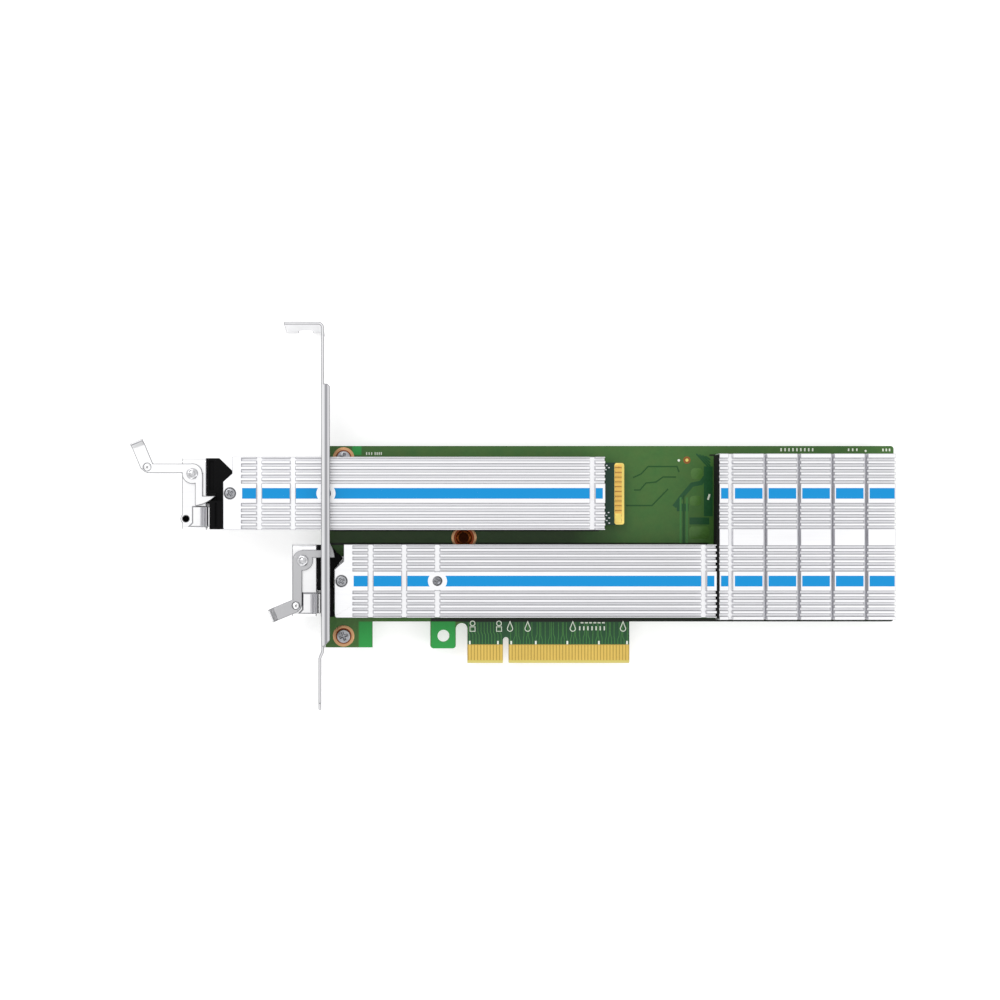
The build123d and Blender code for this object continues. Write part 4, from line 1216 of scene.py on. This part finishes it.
# %% Copper patches under the mask, and a painted shadow band
TEAL_AND_SHADOW_LINES = [
    (1.40, [(53.40, 49.60), (55.60, 52.60), (59.00, 56.60), (61.90, 57.20), (63.20, 59.00)]),
    (2.40, [(54.20, 49.40), (57.90, 49.40)]),
    (0.80, [(56.40, 49.00), (56.40, 38.10)]),
    # This wide band along the fixed heatsink's left end is painted shadow.
    (2.80, [(64.20, 62.40), (64.20, 46.60)]),
    (2.20, [(58.20, 45.10), (64.50, 45.10)]),
]
for i in range(4):
    TEAL_AND_SHADOW_LINES.append((0.50, [(60.40 + 0.95 * i, 66.40 - 0.25 * i), (64.80, 61.60 + 0.95 * i)]))
LEAF_BOXES = [
    ((58.30, 49.90), (61.90, 53.10)), ((58.70, 58.30), (62.50, 61.90)), ((58.10, 39.40), (64.60, 43.40))
]
teal_and_shadow = [
    ribbon(line, width, TRACK_LOW, 0.016 + 0.002 * i) for i, (width, line) in enumerate(TEAL_AND_SHADOW_LINES)
]
leaf = [rounded_block((*low, TRACK_LOW), (*high, 0.03), 1.20, 0.01) for low, high in LEAF_BOXES]
piece("teal_and_shadow_patches", teal_and_shadow, teal_mask, "card")
piece("leaf_patches", leaf, leaf_mask, "card")
print("patches:", len(teal_and_shadow) + len(leaf))

# %% Solder side tracks
back_tracks, vias = [], []
low, high = BOARD_BACK - 0.035, BOARD_BACK + 0.02
for pair in range(16):
    for wire in range(2):
        x = 2.5 + 2.0 * pair + 0.6 * wire
        run = 14.5 + 1.05 * pair + 0.45 * wire
        end_x = 86.5 - 0.15 * pair
        line = [
            (x, 6.1), (x, run - 1.0), (x + 1.0, run), (end_x - 14.0, run), (end_x - 5.0, run + 9.0),
            (end_x, run + 9.0)
        ]
        back_tracks.append(ribbon(line, 0.20, low, high))
for sign, lane_y in ((1, LOWER_LANE), (-1, UPPER_LANE)):
    for pair in range(8):
        for wire in range(2):
            y = lane_y + sign * (-7.5 + 2.0 * pair + 0.5 * wire)
            bend = 79.0 + 0.9 * pair + 0.4 * wire
            back_tracks.append(ribbon(
                [(70.0, y), (bend, y), (bend + 3.5, y + 3.5 * sign), (88.0, y + 3.5 * sign)], 0.20, low, high
            ))
piece("back_tracks", back_tracks, track_mask, "card")
via = [(0.0, 0.05), (0.16, 0.05), (0.34, 0.02), (0.34, -0.03), (0.0, -0.03)]
for column in range(9):
    for row in range(9):
        x, y = SWITCH_CENTRE[0] + (column - 4) * 2.0 + 1.0, SWITCH_CENTRE[1] + (row - 4) * 2.0 + 1.0
        vias.append(turned(via, (x, y, BOARD_BACK), 12, down=True))
for x in np.arange(-48.0, 120.0, 6.0):
    vias.append(turned(via, (x, 67.6, BOARD_BACK), 12, down=True))
    vias.append(turned(via, (x + 1.0, 14.2 if x > 41 or x < -26 else 66.4, BOARD_BACK), 12, down=True))
piece("back_vias", vias, tin, "card")
print("back tracks:", len(back_tracks), "vias:", len(vias))

# %% [markdown]
# The white printing is only strokes and rings. Where the photo has words or a maker's sign, the
# board has short plain dashes or nothing.

# %% Printing
PRINT_HIGH = 0.045
FRONT_PRINT = (0.0, PRINT_HIGH)
BACK_PRINT = (BOARD_BACK - PRINT_HIGH, BOARD_BACK)


def round_line(centre, radius, turn):
    """Points at one radius round a centre, for an array of turns in radians."""
    return np.column_stack([centre[0] + radius * np.cos(turn), centre[1] + radius * np.sin(turn)])


def ring_mark(centre, radius, levels=FRONT_PRINT):
    """A printed ring as a flat closed ribbon."""
    turn = np.linspace(0, 2 * np.pi, 24, endpoint=False)
    return ribbon(round_line(centre, radius, turn), 0.26, *levels, closed=True)


def drop_mark(centre, radius):
    """A printed drop: about 250 degrees of a circle, closed by a point above it."""
    turn = np.linspace(np.radians(145), np.radians(395), 16)
    tip = (centre[0], centre[1] + 2.6 * radius)
    return ribbon([*round_line(centre, radius, turn), tip], 0.26, *FRONT_PRINT, closed=True)


def frame_mark(low, high, levels=FRONT_PRINT):
    """A printed rectangle round the place of a part."""
    line = [(low[0], low[1]), (high[0], low[1]), (high[0], high[1]), (low[0], high[1])]
    return ribbon(line, 0.22, *levels, closed=True)


def dashes(start, count, pitch, length, width=0.34, upright=True, levels=FRONT_PRINT):
    """A row of short plain strokes."""
    made = []
    for i in range(count):
        x, y = start[0] + i * pitch, start[1]
        line = [(x, y), (x, y + length)] if upright else [(x, y), (x + length, y)]
        made.append(ribbon(line, width, *levels))
    return made


def disc(centre, radius, high=PRINT_HIGH):
    """A flat round spot."""
    return turned([(0, 0), (radius, 0), (radius, high), (0, high)], (*centre, 0), 24)


FINGER_MARKS = (-11.47, -2.55, 1.67, 9.47, 19.47, 29.49, 38.41)
DROP_MARKS = (1.29, 6.90, 21.20, 37.14)
RING_MARKS = (-10.60, -2.20)
prints = []
for x in FINGER_MARKS:
    prints.append(ribbon([(x, 5.95), (x, 7.05)], 0.55, *FRONT_PRINT))
for x in DROP_MARKS:
    prints.append(drop_mark((x, 10.95), 0.85))
for x in RING_MARKS:
    prints.append(ring_mark((x, 12.60), 0.75))
    prints.append(frame_mark((x - 0.80, 10.10), (x + 0.80, 11.50)))
prints += dashes((23.40, 10.40), 7, 1.30, 1.30, 0.40)
prints += dashes((23.70, 12.80), 6, 1.35, 0.90, 0.40, upright=False)
prints += dashes((-44.20, 66.05), 3, 0.80, 0.85)
prints += dashes((-41.50, 66.05), 4, 0.65, 0.85)
prints += dashes((87.30, 67.20), 9, 1.25, 1.00, 0.45)
prints += dashes((108.70, 67.25), 3, 1.30, 0.85, 0.45)
prints += dashes((119.60, 67.20), 3, 1.05, 0.85, 0.45)
prints += [disc((54.84, 64.31), 0.40), disc((114.10, 67.30), 0.35)]
prints.append(ribbon([(64.10, 51.80), (64.60, 53.60)], 0.55, *FRONT_PRINT))
x, y = SWITCH_CENTRE
prints.append(frame_mark((x - 12.5, y - 12.5), (x + 12.5, y + 12.5), BACK_PRINT))
for lane_y in (LOWER_LANE, UPPER_LANE):
    prints.append(frame_mark((66.50, lane_y - 11.3), (76.30, lane_y + 11.3), BACK_PRINT))
for post in BLOCK_POSTS:
    prints.append(ring_mark(post, 2.9, BACK_PRINT))
prints += dashes((-30.0, 45.0), 8, 1.4, 1.2, 0.3, levels=BACK_PRINT)
piece("printing", prints, print_white, "card")
print("printed strokes:", len(prints))

# %% Aiming dots
AIM_DOTS = [(57.41, 64.40)]
dots = [disc(spot, 0.50, 0.05) for spot in AIM_DOTS]
piece("aiming_dots", dots, pale_gold, "card")
AIM_RING = [(0.56, -0.02), (1.15, -0.02), (1.15, 0.015), (0.56, 0.015)]
rings = [turned(AIM_RING, (*spot, 0), 32, ring=True) for spot in AIM_DOTS]
piece("aiming_rings", rings, bare_brown, "card")
print("dots:", len(dots))
